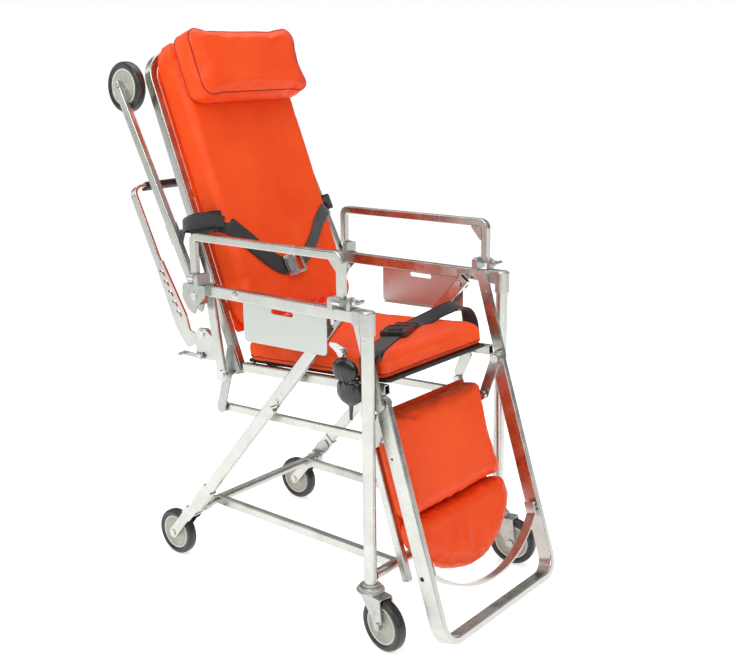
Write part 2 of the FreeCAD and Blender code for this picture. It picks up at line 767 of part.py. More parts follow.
def legrest_crank():
    pin = front_crank_pin()
    y0 = 206.2
    y1 = 210.8
    web = link(LEGREST_PIVOT, pin, 12, y0, y1)
    boss = rod_y(LEGREST_PIVOT[0], LEGREST_PIVOT[1], 15, y0, y1)
    stud = rod_y(pin[0], pin[1], 5, 190.0, y0 + 0.5)
    hole = rod_y(LEGREST_PIVOT[0], LEGREST_PIVOT[1], 6 + RUNNING, 180, 240)
    return fuse([web, boss, stud]).cut(hole)


def foot_band():
    """Flat bar bowed round the foot pad's end, bolted inside the outer U."""
    y = LEGREST_Y - 8 - 8
    start = 350.0
    apex = 456.0
    thick = 4.0
    straight = 376.0
    inner_y = y - thick
    outer = [Vector(start, y, -12), Vector(straight, y, -12)]
    outer_arc = Part.Arc(outer[1], Vector(apex, 0, -12), Vector(straight, -y, -12)).toShape()
    inner_arc = Part.Arc(
        Vector(straight, -inner_y, -12), Vector(apex - thick, 0, -12), Vector(straight, inner_y, -12)
    ).toShape()
    edges = [
        Part.LineSegment(outer[0], outer[1]).toShape(),
        outer_arc,
        Part.LineSegment(Vector(straight, -y, -12), Vector(start, -y, -12)).toShape(),
        Part.LineSegment(Vector(start, -y, -12), Vector(start, -inner_y, -12)).toShape(),
        Part.LineSegment(Vector(start, -inner_y, -12), Vector(straight, -inner_y, -12)).toShape(),
        inner_arc,
        Part.LineSegment(Vector(straight, inner_y, -12), Vector(start, inner_y, -12)).toShape(),
        Part.LineSegment(Vector(start, inner_y, -12), outer[0]).toShape(),
    ]
    strip = Part.Face(Part.Wire(edges)).extrude(Vector(0, 0, 24))
    bushes = both(rod_y(start + 13, 0, 11, y, LEGREST_Y - 8))
    return place(fuse([strip] + bushes), LEGREST_PIVOT, LEGREST_ANGLE)


def pad_frame():
    """Two side bars behind the calf and foot pads, cranked up to their pivots, with a tie bar."""
    depth = 20.0
    centre = -42.0
    solids = []
    for side in (-1, 1):
        y = side * 174.0
        solids.append(Part.Shape(bar(378, y - 8, y + 8, depth, start=52)))
        solids[-1].translate(Vector(0, 0, centre))
        y0, y1 = sorted((side * 176.0, side * 182.0))
        outline = [
            (-10, 8), (-10, -9), (40, centre - 8), (92, centre - 8),
            (92, centre + 9), (58, centre + 10), (10, 10),
        ]
        solids.append(plate(outline, y0, y1, [8, 8, 10, 4, 4, 12, 8]))
    tie = box(330, 350, -167, 167, centre - 6, centre + 6)
    frame = fuse(solids + [tie])
    hole = rod_y(0, 0, 5 + RUNNING, -200, 200)
    return place(frame.cut(hole), PAD_PIVOT, LEGREST_ANGLE)


def pad_board():
    shape = d_pad(60, 446, 172, -31.6, -27.6, 14)
    return place(shape, PAD_PIVOT, LEGREST_ANGLE)


def d_pad(x0, x1, half, z0, z1, corner):
    """A panel with a bowed far end."""
    bow = 108.0
    shoulder = x1 - bow
    start = [
        Vector(shoulder, -half, z0), Vector(x0, -half, z0), Vector(x0, half, z0), Vector(shoulder, half, z0)
    ]
    edges = rounded_edges(start, [0, corner, corner, 0], False)
    edges.append(Part.Arc(start[3], Vector(x1, 0, z0), start[0]).toShape())
    return Part.Face(Part.Wire(edges)).extrude(Vector(0, 0, z1 - z0))


def calf_cushion():
    return place(cushion(58, 298, PAD_Y, -27.3, 23, 26, 12), PAD_PIVOT, LEGREST_ANGLE)


def foot_cushion():
    body = d_pad(299.5, 460, PAD_Y, -27.3, 23, 20)
    body = body.makeFillet(12, body.Edges)
    return place(body, PAD_PIVOT, LEGREST_ANGLE)


# --- links, armrests and casters ------------------------------------------------------------
def sync_rod():
    """Rectangular bar that ties the back crank to the leg rest's crank."""
    a = crank_pin()
    b = front_crank_pin()
    angle = math.degrees(math.atan2(b[1] - a[1], b[0] - a[0]))
    length = math.hypot(b[0] - a[0], b[1] - a[1])
    y0 = ROD_Y - 5
    y1 = ROD_Y + 5
    tube = bar(length - 24, y0, y1, 20.0, wall=1.6, start=12)
    eyes = [rod_y(0, 0, 12, y0, y1), rod_y(length, 0, 12, y0, y1)]
    necks = [box(2, 24, y0, y1, -9, 9), box(length - 24, length - 2, y0, y1, -9, 9)]
    shape = fuse([tube] + eyes + necks)
    shape = shape.cut(rod_y(0, 0, 5 + RUNNING, y0 - 5, y1 + 5))
    slack = 0.6                       # the front eye is the linkage's open pivot
    shape = shape.cut(rod_y(length, 0, 5 + slack, y0 - 5, y1 + 5))
    return place(shape, a, angle)


def armrest():
    """Inverted U of rectangular tube that hinges outwards on two barrels along the rail."""
    z_low = ARM_PIVOT_Z + 4
    points = [
        Vector(ARM_REAR_X, ARM_Y, z_low),
        Vector(ARM_REAR_X, ARM_Y, ARM_TOP_Z),
        Vector(ARM_FRONT_X, ARM_Y, ARM_TOP_Z),
        Vector(ARM_FRONT_X, ARM_Y, z_low),
    ]
    loop = swept(points, [0, 14, 14, 0], Vector(0, 1, 0), 16.0, 18.0)
    gusset = plate([(620, 851), (589, 851), (620, 815)], ARM_Y - 7, ARM_Y - 4, 2)
    barrels = []
    for x0, x1 in ((ARM_REAR_X - 8, ARM_REAR_X + 10), (ARM_FRONT_X - 11, ARM_FRONT_X + 9)):
        barrels.append(rod_x(ARM_PIVOT_Y, ARM_PIVOT_Z, 9, x0, x1))
    shape = fuse([loop, gusset] + barrels)
    return shape.cut(rod_x(ARM_PIVOT_Y, ARM_PIVOT_Z, 5 + RUNNING, ARM_REAR_X - 30, ARM_FRONT_X + 30))


def upper_edges(block):
    """Edges along X at the top of a block on the rail."""
    return [e for e in block.Edges if e.BoundBox.XLength > 1 and e.BoundBox.ZMin > ARM_PIVOT_Z]


def arm_hinges():
    """Lugs on the rail with the spindles that the armrest's barrels turn on."""
    spans = (
        (ARM_REAR_X + 10.5, ARM_REAR_X + 24, ARM_REAR_X - 10),
        (ARM_FRONT_X - 25, ARM_FRONT_X - 11.5, ARM_FRONT_X + 13),
    )
    solids = []
    for x0, x1, tip in spans:
        lug = box(x0, x1, RAIL_Y - 8, ARM_PIVOT_Y + 7, RAIL_Z + RAIL_H / 2, ARM_PIVOT_Z + 7)
        lug = lug.makeFillet(5, upper_edges(lug))
        low, high = sorted((tip, (x0 + x1) / 2))
        solids.append(fuse([lug, rod_x(ARM_PIVOT_Y, ARM_PIVOT_Z, 5, low, high)]))
    return solids


def arm_pin():
    """Spring plunger with a cross grip at the front of each armrest hinge."""
    x0 = ARM_FRONT_X + 14.0
    y = ARM_PIVOT_Y - 17
    pin = rod_x(y, ARM_PIVOT_Z, 3.5, x0 - 3, x0 + 20)
    grip = rod_y(x0 + 24, ARM_PIVOT_Z, 4.5, y - 15, y + 15)
    collar = rod_x(y, ARM_PIVOT_Z, 6, x0 + 12, x0 + 20)
    return fuse([pin, grip, collar])


def arm_pin_block():
    """Guide block on the rail that the plunger slides in."""
    x0 = ARM_FRONT_X + 13.5
    y = ARM_PIVOT_Y - 17
    block = box(x0, x0 + 9, y - 9, y + 9, RAIL_Z + RAIL_H / 2, ARM_PIVOT_Z + 8)
    block = block.makeFillet(3, upper_edges(block))
    return block.cut(rod_x(y, ARM_PIVOT_Z, 3.5 + RUNNING, x0 - 5, x0 + 30))


def caster_fork():
    """Pressed swivel fork: a crown under the bearing and two legs trailing to the axle."""
    x, y = POST_X, CASTER_Y
    trail = math.hypot(*CASTER_TRAIL)
    spread = WHEEL_W / 2 + 2.5
    crown = Part.makeCylinder(22, 3, Vector(0, 0, 136))
    half = spread + 3
    top = slab([(-20, -half), (trail + 6, -half), (trail + 6, half), (-20, half)], 133, 136, 6)
    solids = [crown, top]
    for side in (-1, 1):
        inner = side * spread
        outer = side * (spread + 3)
        y0, y1 = sorted((inner, outer))
        outline = [
            (-20, 136), (trail + 6, 136), (trail + 11, 78),
            (trail + 4, 63), (trail - 10, 63), (trail - 18, 84),
        ]
        solids.append(plate(outline, y0, y1, [6, 6, 12, 8, 8, 20]))
    race = Part.makeCylinder(20, 3.4, Vector(0, 0, 138.6))
    neck = Part.makeCylinder(8, 30, Vector(0, 0, 140))
    fork = fuse(solids + [race, neck])
    axle = rod_y(trail, AXLE_Z, AXLE_R, -spread - 6, spread + 6)
    caps = [rod_y(trail, AXLE_Z, 8.5, -half - 4, -half), rod_y(trail, AXLE_Z, 8.5, half, half + 4)]
    fork = fuse([fork, axle] + caps)
    return turned(fork, x, y)


def turned(shape, x, y):
    """Turn a caster piece from its own trail line to the way the left caster trails."""
    out = shape.copy()
    out.rotate(Vector(0, 0, 0), Vector(0, 0, 1), caster_heading())
    out.translate(Vector(x, y, 0))
    return out


def caster_heading():
    return math.degrees(math.atan2(-CASTER_TRAIL[1], CASTER_TRAIL[0]))


def caster_socket():
    """Collar pressed in the post's foot, with the seat of the swivel bearing."""
    collar = rod_z(POST_X, RAIL_Y, 18, 142.6, 153.5)
    sleeve = rod_z(POST_X, RAIL_Y, POST_R - TUBE_WALL, 153.5, 176)
    body = fuse([collar, sleeve])
    foot_room = Part.makeCylinder(POST_R, 40, Vector(POST_X, RAIL_Y, POST_FOOT_Z))
    ring = foot_room.cut(Part.makeCylinder(POST_R - TUBE_WALL, 40, Vector(POST_X, RAIL_Y, POST_FOOT_Z)))
    return body.cut(ring).cut(rod_z(POST_X, RAIL_Y, 8 + RUNNING, 140, 171))


def pivot_bolts():
    """Pivot bolts of the left side. Nodes on either side have holes of the same radius."""
    return [
        bolt(LEG_PIVOT[0], LEG_PIVOT[1], 4, 217.0, 241.0),
        bolt(BACK_PIVOT[0], BACK_PIVOT[1], 6, 182.0, 232.0),
        stud(LEGREST_PIVOT[0], LEGREST_PIVOT[1], 6, 205.0, 237.0, 3.0),
        bolt(HANDLE_PIVOT[0], HANDLE_PIVOT[1], 6, 212.0, 232.0, 3.0),
        bolt(LOADING_PIVOT[0], LOADING_PIVOT[1], 5, 246.0, 272.0, 2.0),
        pad_pin(),
    ]


def leg_pivot_tab():
    """Tab below the rail that carries the rear leg's pivot bolt."""
    tab = plate([(564, 748), (602, 748), (596, 700), (570, 700)], 237.0, 241.0, [2, 2, 12, 12])
    return tab.cut(rod_y(LEG_PIVOT[0], LEG_PIVOT[1], 4, 230, 250))


def lever_pin():
    x, z = LEVER_PIVOT
    outer = LEVER_Y - 0.5
    return fuse([rod_y(x, z, 3, outer, -232.0), rod_y(x, z, 5.5, outer - 2.5, outer)])


# --- assembly -------------------------------------------------------------------------------
def compound(solids):
    """Separate solids that share one node."""
    pieces = []
    for solid in solids:
        pieces.extend(solid.Solids)
    return Part.makeCompound(pieces)


def pair(left):
    return compound(both(left))


def build_frame():
    add("top_rails", pair(top_rail()))
    add("front_posts", pair(front_post()))
    add("post_elbows", pair(post_elbow()))
    add("rail_brackets", compound(both(rear_bracket()) + both(leg_pivot_tab())))
    add("side_panels", pair(side_panel()))
    add("hangers", pair(hanger()))
    add("rear_uprights", pair(rear_upright()))
    add("rear_legs", pair(rear_leg()))
    add("rear_forks", pair(rear_fork()))
    add("base_frame", base_frame())
    add("corner_brackets", pair(corner_bracket()))
    add("caster_sockets", pair(caster_socket()))
    add("seat_frame", seat_frame())
    add("seat_board", seat_board())
    add("seat_cushion", seat_cushion())
    add("lap_belt", lap_belt())
    add("lap_buckle", lap_buckle())
    add("strap_grip", strap_grip())
    add("grip_knob", grip_knob())
    hinges = arm_hinges() + [arm_pin_block()]
    add("arm_hinges", compound(hinges + [mirrored(h) for h in hinges]))
    bolts = pivot_bolts()
    add("pivot_bolts", compound(bolts + [mirrored(b) for b in bolts] + [lever_pin()]))


def build_backrest():
    add("back_frame", back_frame())
    add("back_board", back_board())
    add("back_cushion", back_cushion())
    add("head_pillow", head_pillow())
    add("back_cranks", pair(back_crank()))
    add("chest_belt", chest_belt())
    add("chest_buckle", chest_buckle())
    add("push_handle", push_handle())
    add("handle_grips", handle_grips())
    add("release_lever", release_lever())


def build_legrest():
    add("legrest_frame", legrest_frame())
    add("legrest_cranks", pair(legrest_crank()))
    add("foot_band", foot_band())
    add("pad_frame", pad_frame())
    add("pad_board", pad_board())
    add("calf_cushion", calf_cushion())
    add("foot_cushion", foot_cushion())
    add("sync_rods", pair(sync_rod()))


def build_sides():
    add_pair("armrest", armrest())
    add_pair("arm_pin", arm_pin())
    add_pair("loading_leg", loading_leg())
    add_pair("caster_fork", caster_fork())


def build_wheels():
    loading = point_on(LOADING_PIVOT, LOADING_ANGLE, LOADING_LENGTH)
    trail = turned(Part.Vertex(math.hypot(*CASTER_TRAIL), 0, 0), POST_X, CASTER_Y).Point
    for side, sign in (("left", 1), ("right", -1)):
        add_wheel("loading", side, loading[0], sign * LOADING_WHEEL_Y, loading[1])
        add_wheel("rear", side, REAR_AXLE[0], sign * REAR_WHEEL_Y, REAR_AXLE[1])
        for stem, shape in (("caster_tyre_", tyre(0, 0, AXLE_Z)), ("caster_hub_", hub(0, 0, AXLE_Z))):
            shape.rotate(Vector(0, 0, 0), Vector(0, 0, 1), sign * caster_heading())
            shape.translate(Vector(trail.x, sign * trail.y, 0))
            add(stem + side, shape)


for build in (build_frame, build_backrest, build_legrest, build_sides, build_wheels):
    build()
export()
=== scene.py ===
import json
import math

import bmesh
import bpy
from mathutils import Matrix, Vector, noise
from mathutils.bvhtree import BVHTree


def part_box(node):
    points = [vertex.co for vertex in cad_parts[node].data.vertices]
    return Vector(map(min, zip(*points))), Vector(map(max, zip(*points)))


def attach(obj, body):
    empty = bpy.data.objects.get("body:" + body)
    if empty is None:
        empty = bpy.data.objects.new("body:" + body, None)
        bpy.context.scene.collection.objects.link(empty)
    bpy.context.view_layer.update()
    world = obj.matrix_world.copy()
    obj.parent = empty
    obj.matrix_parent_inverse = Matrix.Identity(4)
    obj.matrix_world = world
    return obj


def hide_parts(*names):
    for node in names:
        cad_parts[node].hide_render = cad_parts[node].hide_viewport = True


# Looks of the stretcher trolley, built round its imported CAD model.
# Places are written in millimetres in the CAD's own layout, and the matrices below turn them into
# the row frame. A tilted panel has a frame of its own: x along it, y across it, z square to it.

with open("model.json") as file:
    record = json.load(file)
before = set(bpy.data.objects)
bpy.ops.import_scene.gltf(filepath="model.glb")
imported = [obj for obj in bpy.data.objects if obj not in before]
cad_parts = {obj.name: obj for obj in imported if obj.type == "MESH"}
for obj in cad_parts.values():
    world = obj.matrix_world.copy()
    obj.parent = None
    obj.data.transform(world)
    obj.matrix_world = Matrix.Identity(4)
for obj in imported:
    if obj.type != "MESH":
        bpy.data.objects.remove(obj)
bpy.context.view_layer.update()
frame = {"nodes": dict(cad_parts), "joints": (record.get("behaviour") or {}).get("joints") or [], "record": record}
nodes = frame["nodes"]

ORIGIN_X = 380.4
FLOOR_Z = 14.0
MM = 0.001
SIDES = (("left", 1), ("right", -1))


# --- local frames ---------------------------------------------------------------------------
def local_frame(x, z, angle):
    """Matrix from millimetres along a tilted panel to metres in the row frame."""
    a = math.radians(angle)
    along = Vector((math.cos(a), 0, math.sin(a))) * MM
    across = Vector((0, 1, 0)) * MM
    lift = Vector((-math.sin(a), 0, math.cos(a))) * MM
    origin = Vector(((x - ORIGIN_X) * MM, 0, (z - FLOOR_Z) * MM))
    rows = [[along[i], across[i], lift[i], origin[i]] for i in range(3)]
    return Matrix(rows + [[0, 0, 0, 1]])


# The panels' lower rear corners (x, z) and their tilt in degrees.
WORLD = local_frame(0, 0, 0)
BACK = local_frame(222, 530, 111.3)
SEAT = local_frame(262, 549, 3.4)
PAD = local_frame(637, 563, -72.7)


# --- materials ------------------------------------------------------------------------------
def add_node(tree, kind, **values):
    node = tree.nodes.new(kind)
    for key, value in values.items():
        if key in node.inputs:
            node.inputs[key].default_value = value
        else:
            setattr(node, key, value)
    return node


def ramp(tree, source, stops):
    node = tree.nodes.new("ShaderNodeValToRGB")
    elements = node.color_ramp.elements
    while len(elements) < len(stops):
        elements.new(0.5)
    for element, (place, colour) in zip(elements, stops):
        element.position = place
        element.color = (*colour, 1) if len(colour) == 3 else colour
    tree.links.new(source, node.inputs[0])
    return node.outputs[0]


def grey(value):
    return (value, value, value)


def surface(name, dark, light, rough, patch, grain, depth, marks=0.0, **shader):
    """A finish whose colour and roughness drift in patches, with a fine raised grain.

    patch and grain are sizes in metres, depth is the grain's height, rough a (low, high) pair.
    marks says how dark the small spots of wear are, from 0 to 1.
    """
    mat = bpy.data.materials.new(name)
    mat.use_nodes = True
    tree = mat.node_tree
    tree.nodes.clear()
    link = tree.links.new
    out = add_node(tree, "ShaderNodeOutputMaterial")
    bsdf = add_node(tree, "ShaderNodeBsdfPrincipled", **shader)
    link(bsdf.outputs[0], out.inputs[0])
    place = add_node(tree, "ShaderNodeTexCoord").outputs["Object"]
    drift = add_node(tree, "ShaderNodeTexNoise", Scale=1 / patch, Detail=5.0, Roughness=0.6)
    link(place, drift.inputs[0])
    colour = ramp(tree, drift.outputs[0], [(0.3, dark), (0.7, light)])
    link(colour, bsdf.inputs["Base Color"])
    gloss = ramp(tree, drift.outputs[0], [(0.35, grey(rough[0])), (0.65, grey(rough[1]))])
    link(gloss, bsdf.inputs["Roughness"])
    fine = add_node(tree, "ShaderNodeTexNoise", Scale=1 / grain, Detail=3.0)
    link(place, fine.inputs[0])
    bump = add_node(tree, "ShaderNodeBump", Strength=1.0, Distance=depth)
    link(fine.outputs[0], bump.inputs["Height"])
    link(bump.outputs[0], bsdf.inputs["Normal"])
    if marks > 0:
        wear = add_node(tree, "ShaderNodeTexNoise", Scale=220.0, Detail=8.0, Roughness=0.75)
        link(place, wear.inputs[0])
        spots = ramp(tree, wear.outputs[0], [(0.60, grey(1.0)), (0.72, grey(1.0 - marks))])
        mix = add_node(tree, "ShaderNodeMix", data_type="RGBA", blend_type="MULTIPLY")
        mix.inputs[0].default_value = 1.0
        link(colour, mix.inputs[6])
        link(spots, mix.inputs[7])
        link(mix.outputs[2], bsdf.inputs["Base Color"])
    return mat


def vinyl(name):
    """Coated fabric: soft folds, fine leather grain and a faint weave under the coating."""
    mat = surface(
        name, (0.86, 0.060, 0.003), (0.96, 0.090, 0.005), (0.40, 0.55), 0.16, 0.0011, 0.00012,
        **{"Specular IOR Level": 0.28, "Sheen Weight": 0.03, "Coat Weight": 0.04, "Coat Roughness": 0.35},
    )
    tree = mat.node_tree
    link = tree.links.new
    bsdf = next(n for n in tree.nodes if n.type == "BSDF_PRINCIPLED")
    first = next(n for n in tree.nodes if n.type == "BUMP")
    place = next(n for n in tree.nodes if n.type == "TEX_COORD").outputs["Object"]
    folds = add_node(tree, "ShaderNodeTexNoise", Scale=13.0, Detail=4.0, Distortion=0.6)
    link(place, folds.inputs[0])
    soft = add_node(tree, "ShaderNodeBump", Strength=0.55, Distance=0.006)
    link(folds.outputs[0], soft.inputs["Height"])
    link(soft.outputs[0], first.inputs["Normal"])
    cells = add_node(tree, "ShaderNodeTexVoronoi", Scale=620.0, feature="DISTANCE_TO_EDGE")
    link(place, cells.inputs["Vector"])
    leather = add_node(tree, "ShaderNodeBump", Strength=0.35, Distance=0.0002)
    link(cells.outputs["Distance"], leather.inputs["Height"])
    link(first.outputs[0], leather.inputs["Normal"])
    link(leather.outputs[0], bsdf.inputs["Normal"])
    return mat


def webbing(name, dark, light, rough):
    """Woven strap: two crossed sets of fine ribs."""
    mat = surface(name, dark, light, rough, 0.03, 0.0008, 0.00015, **{"Sheen Weight": 0.25})
    tree = mat.node_tree
    link = tree.links.new
    bsdf = next(n for n in tree.nodes if n.type == "BSDF_PRINCIPLED")
    first = next(n for n in tree.nodes if n.type == "BUMP")
    place = next(n for n in tree.nodes if n.type == "TEX_COORD").outputs["Object"]
    last = first
    for direction in ("X", "DIAGONAL"):
        ribs = add_node(tree, "ShaderNodeTexWave", Scale=260.0, Distortion=0.4, bands_direction=direction)
        link(place, ribs.inputs["Vector"])
        bump = add_node(tree, "ShaderNodeBump", Strength=0.5, Distance=0.0003)
        link(ribs.outputs[0], bump.inputs["Height"])
        link(last.outputs[0], bump.inputs["Normal"])
        last = bump
    link(last.outputs[0], bsdf.inputs["Normal"])
    return mat


# Piping in a darker orange than the cover. The piping itself is real, but its darker colour is painted shade along
# the seams where it sits.
SEAM_SHADE_PIPING = surface(
    "piping_painted_seam_shade", (0.30, 0.010, 0.003), (0.42, 0.018, 0.004), (0.4, 0.55), 0.02, 0.0009, 0.0001,
)

MATERIALS = {
    "aluminium_tube": surface(
        "satin_aluminium", (0.50, 0.51, 0.475), (0.66, 0.67, 0.63), (0.20, 0.34), 0.05, 0.0016, 0.00005,
        marks=0.10, Metallic=1.0,
    ),
    "panel_sheet": surface(
        "panel_aluminium", (0.56, 0.59, 0.56), (0.62, 0.65, 0.62), (0.34, 0.42), 0.12, 0.0009, 0.00003,
        Metallic=0.85,
    ),
    "zinc_plate": surface(
        "bright_zinc", (0.40, 0.41, 0.39), (0.60, 0.61, 0.58), (0.26, 0.46), 0.018, 0.0012, 0.00006,
        marks=0.20, Metallic=1.0,
    ),
    "steel_bolts": surface(
        "bolt_steel", (0.55, 0.55, 0.54), (0.74, 0.74, 0.73), (0.16, 0.32), 0.012, 0.0008, 0.00004,
        marks=0.2, Metallic=1.0,
    ),
    "cast_fitting": surface(
        "cast_alloy", (0.48, 0.49, 0.47), (0.62, 0.63, 0.60), (0.34, 0.52), 0.02, 0.0014, 0.00016,
        marks=0.15, Metallic=0.95,
    ),
    "orange_vinyl": vinyl("orange_vinyl_cover"),
    "board": surface(
        "black_board", (0.010, 0.010, 0.011), (0.022, 0.021, 0.020), (0.55, 0.75), 0.05, 0.0015, 0.0001,
    ),
    "black_webbing": webbing(
        "black_webbing_weave", (0.006, 0.006, 0.007), (0.016, 0.016, 0.018), (0.45, 0.65),
    ),
    "buckle_plastic": surface(
        "buckle_moulding", (0.012, 0.013, 0.015), (0.030, 0.032, 0.036), (0.20, 0.36), 0.02, 0.0011, 0.00005,
    ),
    "buckle_metal": surface(
        "buckle_chrome", (0.58, 0.58, 0.57), (0.78, 0.78, 0.77), (0.10, 0.24), 0.01, 0.001, 0.00003,
        Metallic=1.0,
    ),
    "black_pouch": surface(
        "pouch_vinyl", (0.006, 0.006, 0.007), (0.014, 0.014, 0.015), (0.18, 0.34), 0.03, 0.0013, 0.00014,
        **{"Coat Weight": 0.3, "Coat Roughness": 0.2},
    ),
    "black_grip": surface(
        "grip_rubber", (0.010, 0.010, 0.010), (0.024, 0.023, 0.022), (0.5, 0.7), 0.02, 0.0010, 0.0002,
    ),
    "tyre_rubber": surface(
        "tyre_rubber_moulded", (0.010, 0.010, 0.011), (0.026, 0.026, 0.027), (0.24, 0.42),
        0.03, 0.0012, 0.00008, marks=0.3, **{"Specular IOR Level": 0.6},
    ),
    "hub_plastic": surface(
        "hub_grey_cream", (0.40, 0.41, 0.34), (0.50, 0.51, 0.44), (0.30, 0.46), 0.04, 0.0012, 0.00008,
        marks=0.2,
    ),
}
RIM = surface("hub_rim_ring", (0.62, 0.62, 0.56), (0.72, 0.72, 0.66), (0.28, 0.4), 0.03, 0.001, 0.00005)
# A lighter grey copy of the black webbing for the far chest strap: painted light on that strap, not a different
# webbing.
LIT_FAR_WEBBING = webbing("webbing_weave_painted_light", (0.035, 0.038, 0.042), (0.060, 0.064, 0.070), (0.4, 0.55))
# Dark discs over the leg rest's drilled holes: painted shade standing in for the holes, which are not cut.
HOLE_SHADE_DISC = surface(
    "drilled_hole_shade", (0.004, 0.004, 0.004), (0.012, 0.012, 0.012), (0.6, 0.8), 0.01, 0.001, 0.0001,
)

# Boards that show the cover's finish and not their own: the covers are taken to wrap round them.
WRAPPED_BOARDS = ("back_board", "pad_board")

for entry in frame["record"]["subparts"]:
    node = nodes[entry["node"]]
    node.data.materials.clear()
    slot_name = "orange_vinyl" if entry["node"] in WRAPPED_BOARDS else entry["material_slot"]
    node.data.materials.append(MATERIALS[slot_name])


# --- mesh helpers ---------------------------------------------------------------------------
def new_piece(name, verts, faces, body, slot, mat=None):
    """A mesh object from row-frame points that rides on a body."""
    mesh = bpy.data.meshes.new(name)
    mesh.from_pydata([tuple(v) for v in verts], [], faces)
    mesh.update()
    obj = bpy.data.objects.new(name, mesh)
    bpy.context.scene.collection.objects.link(obj)
    finish_piece(obj, body, slot, mat)
    return obj


def finish_piece(obj, body, slot, mat=None):
    """Give a piece its finish and body. mat stands in for the slot's own material."""
    obj.data.materials.clear()
    obj.data.materials.append(mat or MATERIALS[slot])
    obj.data.shade_smooth()
    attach(obj, body)


def bake(obj):
    """Replace an object's mesh with its evaluated one, so no modifier is left."""
    graph = bpy.context.evaluated_depsgraph_get()
    mesh = bpy.data.meshes.new_from_object(obj.evaluated_get(graph))
    obj.modifiers.clear()
    obj.data = mesh


def spline(keys, per_span):
    """Dense rows along a smooth line through rows of numbers."""
    rows = []
    last = len(keys) - 1
    for i in range(last):
        p0, p1, p2, p3 = keys[max(i - 1, 0)], keys[i], keys[i + 1], keys[min(i + 2, last)]
        for step in range(per_span):
            t = step / per_span
            row = []
            for a, b, c, d in zip(p0, p1, p2, p3):
                linear = (c - a) * t
                square = (2 * a - 5 * b + 4 * c - d) * t * t
                cube = (3 * b - a - 3 * c + d) * t ** 3
                row.append(0.5 * (2 * b + linear + square + cube))
            rows.append(row)
    rows.append(list(keys[last]))
    return rows


ODD_DIRECTION = Vector((0.31, 0.17, 0.93))   # no tube here runs along it


def tube(name, points, radius, body, slot, mat=None, closed=False, sides=8):
    """A thin round tube through row-frame points."""
    count = len(points)
    verts, faces = [], []
    for i, p in enumerate(points):
        before = points[i - 1] if closed or i > 0 else p
        after = points[(i + 1) % count] if closed or i < count - 1 else p
        run = (after - before).normalized()
        side = run.cross(ODD_DIRECTION).normalized()
        up = run.cross(side)
        for k in range(sides):
            a = 2 * math.pi * k / sides
            verts.append(p + (side * math.cos(a) + up * math.sin(a)) * radius)
    for i in range(count if closed else count - 1):
        j = (i + 1) % count
        for k in range(sides):
            m = (k + 1) % sides
            faces.append((i * sides + k, i * sides + m, j * sides + m, j * sides + k))
    if not closed:
        faces.append(tuple(range(sides))[::-1])
        faces.append(tuple(range((count - 1) * sides, count * sides)))
    return new_piece(name, verts, faces, body, slot, mat)


def lathe(name, profile, centre, axis, body, slot, mat=None, segments=96):
    """Turn a closed (radius, offset) outline in millimetres about an axis through a row-frame point."""
    axis = axis.normalized()
    side = axis.cross(Vector((0, 0, 1)))
    side = side.normalized() if side.length > 0.1 else Vector((1, 0, 0))
    up = axis.cross(side)
    verts, faces = [], []
    count = len(profile)
    for s in range(segments):
        a = 2 * math.pi * s / segments
        out = side * math.cos(a) + up * math.sin(a)
        for r, offset in profile:
            verts.append(centre + out * r * MM + axis * offset * MM)
    for s in range(segments):
        t = (s + 1) % segments
        for k in range(count):
            m = (k + 1) % count
            faces.append((s * count + k, t * count + k, t * count + m, s * count + m))
    return new_piece(name, verts, faces, body, slot, mat)


def smooth_angle(obj, degrees=35):
    obj.data.set_sharp_from_angle(angle=math.radians(degrees))


def ribbon(name, rows, body, slot, mat=None, thick=1.7, columns=9):
    """A strap with soft edges. Its rows hold (centre, across, out, width).

    The first three are in row-frame metres, and width and thick are in millimetres.
    """
    verts, faces = [], []
    ring = columns * 2
    for centre, across, out, width in rows:
        for layer in (1, -1):
            order = range(columns) if layer == 1 else range(columns - 1, -1, -1)
            for c in order:
                t = 2 * c / (columns - 1) - 1
                edge = math.sqrt(max(0.0, 1 - t ** 8))
                height = thick * MM * (0.5 + 0.5 * layer * edge)
                verts.append(centre + across * (t * width / 2 * MM) + out * height)
    for i in range(len(rows) - 1):
        for k in range(ring):
            m = (k + 1) % ring
            a, b = i * ring, (i + 1) * ring
            faces.append((a + k, a + m, b + m, b + k))
    last = (len(rows) - 1) * ring
    faces.append(tuple(range(ring))[::-1])
    faces.append(tuple(range(last, last + ring)))
    return new_piece(name, verts, faces, body, slot, mat)


def strap_rows(matrix, keys, tree=None, clear=0.6, per_span=14):
    """Rows for ribbon() from keys (x, y, z, nx, ny, nz, width, hug) in a panel's own millimetres.

    Where hug is 1 the strap lies on the surface in tree, found along the strap's own normal.
    """
    rows = []
    dense = spline(keys, per_span)
    points = []
    for row in dense:
        p = Vector(row[0:3])
        n = Vector(row[3:6]).normalized()
        if tree is not None and row[7] > 0.5:
            hit = tree.ray_cast(p + n * 120, -n)[0]
            if hit is not None:
                p = hit + n * clear
        points.append((p, n, row[6]))
    turn = matrix.to_3x3() * (1 / MM)
    for i, (p, n, width) in enumerate(points):
        before = points[max(i - 1, 0)][0]
        after = points[min(i + 1, len(points) - 1)][0]
        run = (after - before).normalized()
        across = n.cross(run).normalized()
        out = run.cross(across).normalized()
        rows.append((matrix @ p, turn @ across, turn @ out, width))
    return rows


def local_tree(obj, matrix):
    """Surface of an object in a panel's own millimetres, for ray casts."""
    inverse = matrix.inverted()
    verts = [inverse @ (obj.matrix_world @ v.co) for v in obj.data.vertices]
    return BVHTree.FromPolygons(verts, [tuple(p.vertices) for p in obj.data.polygons])


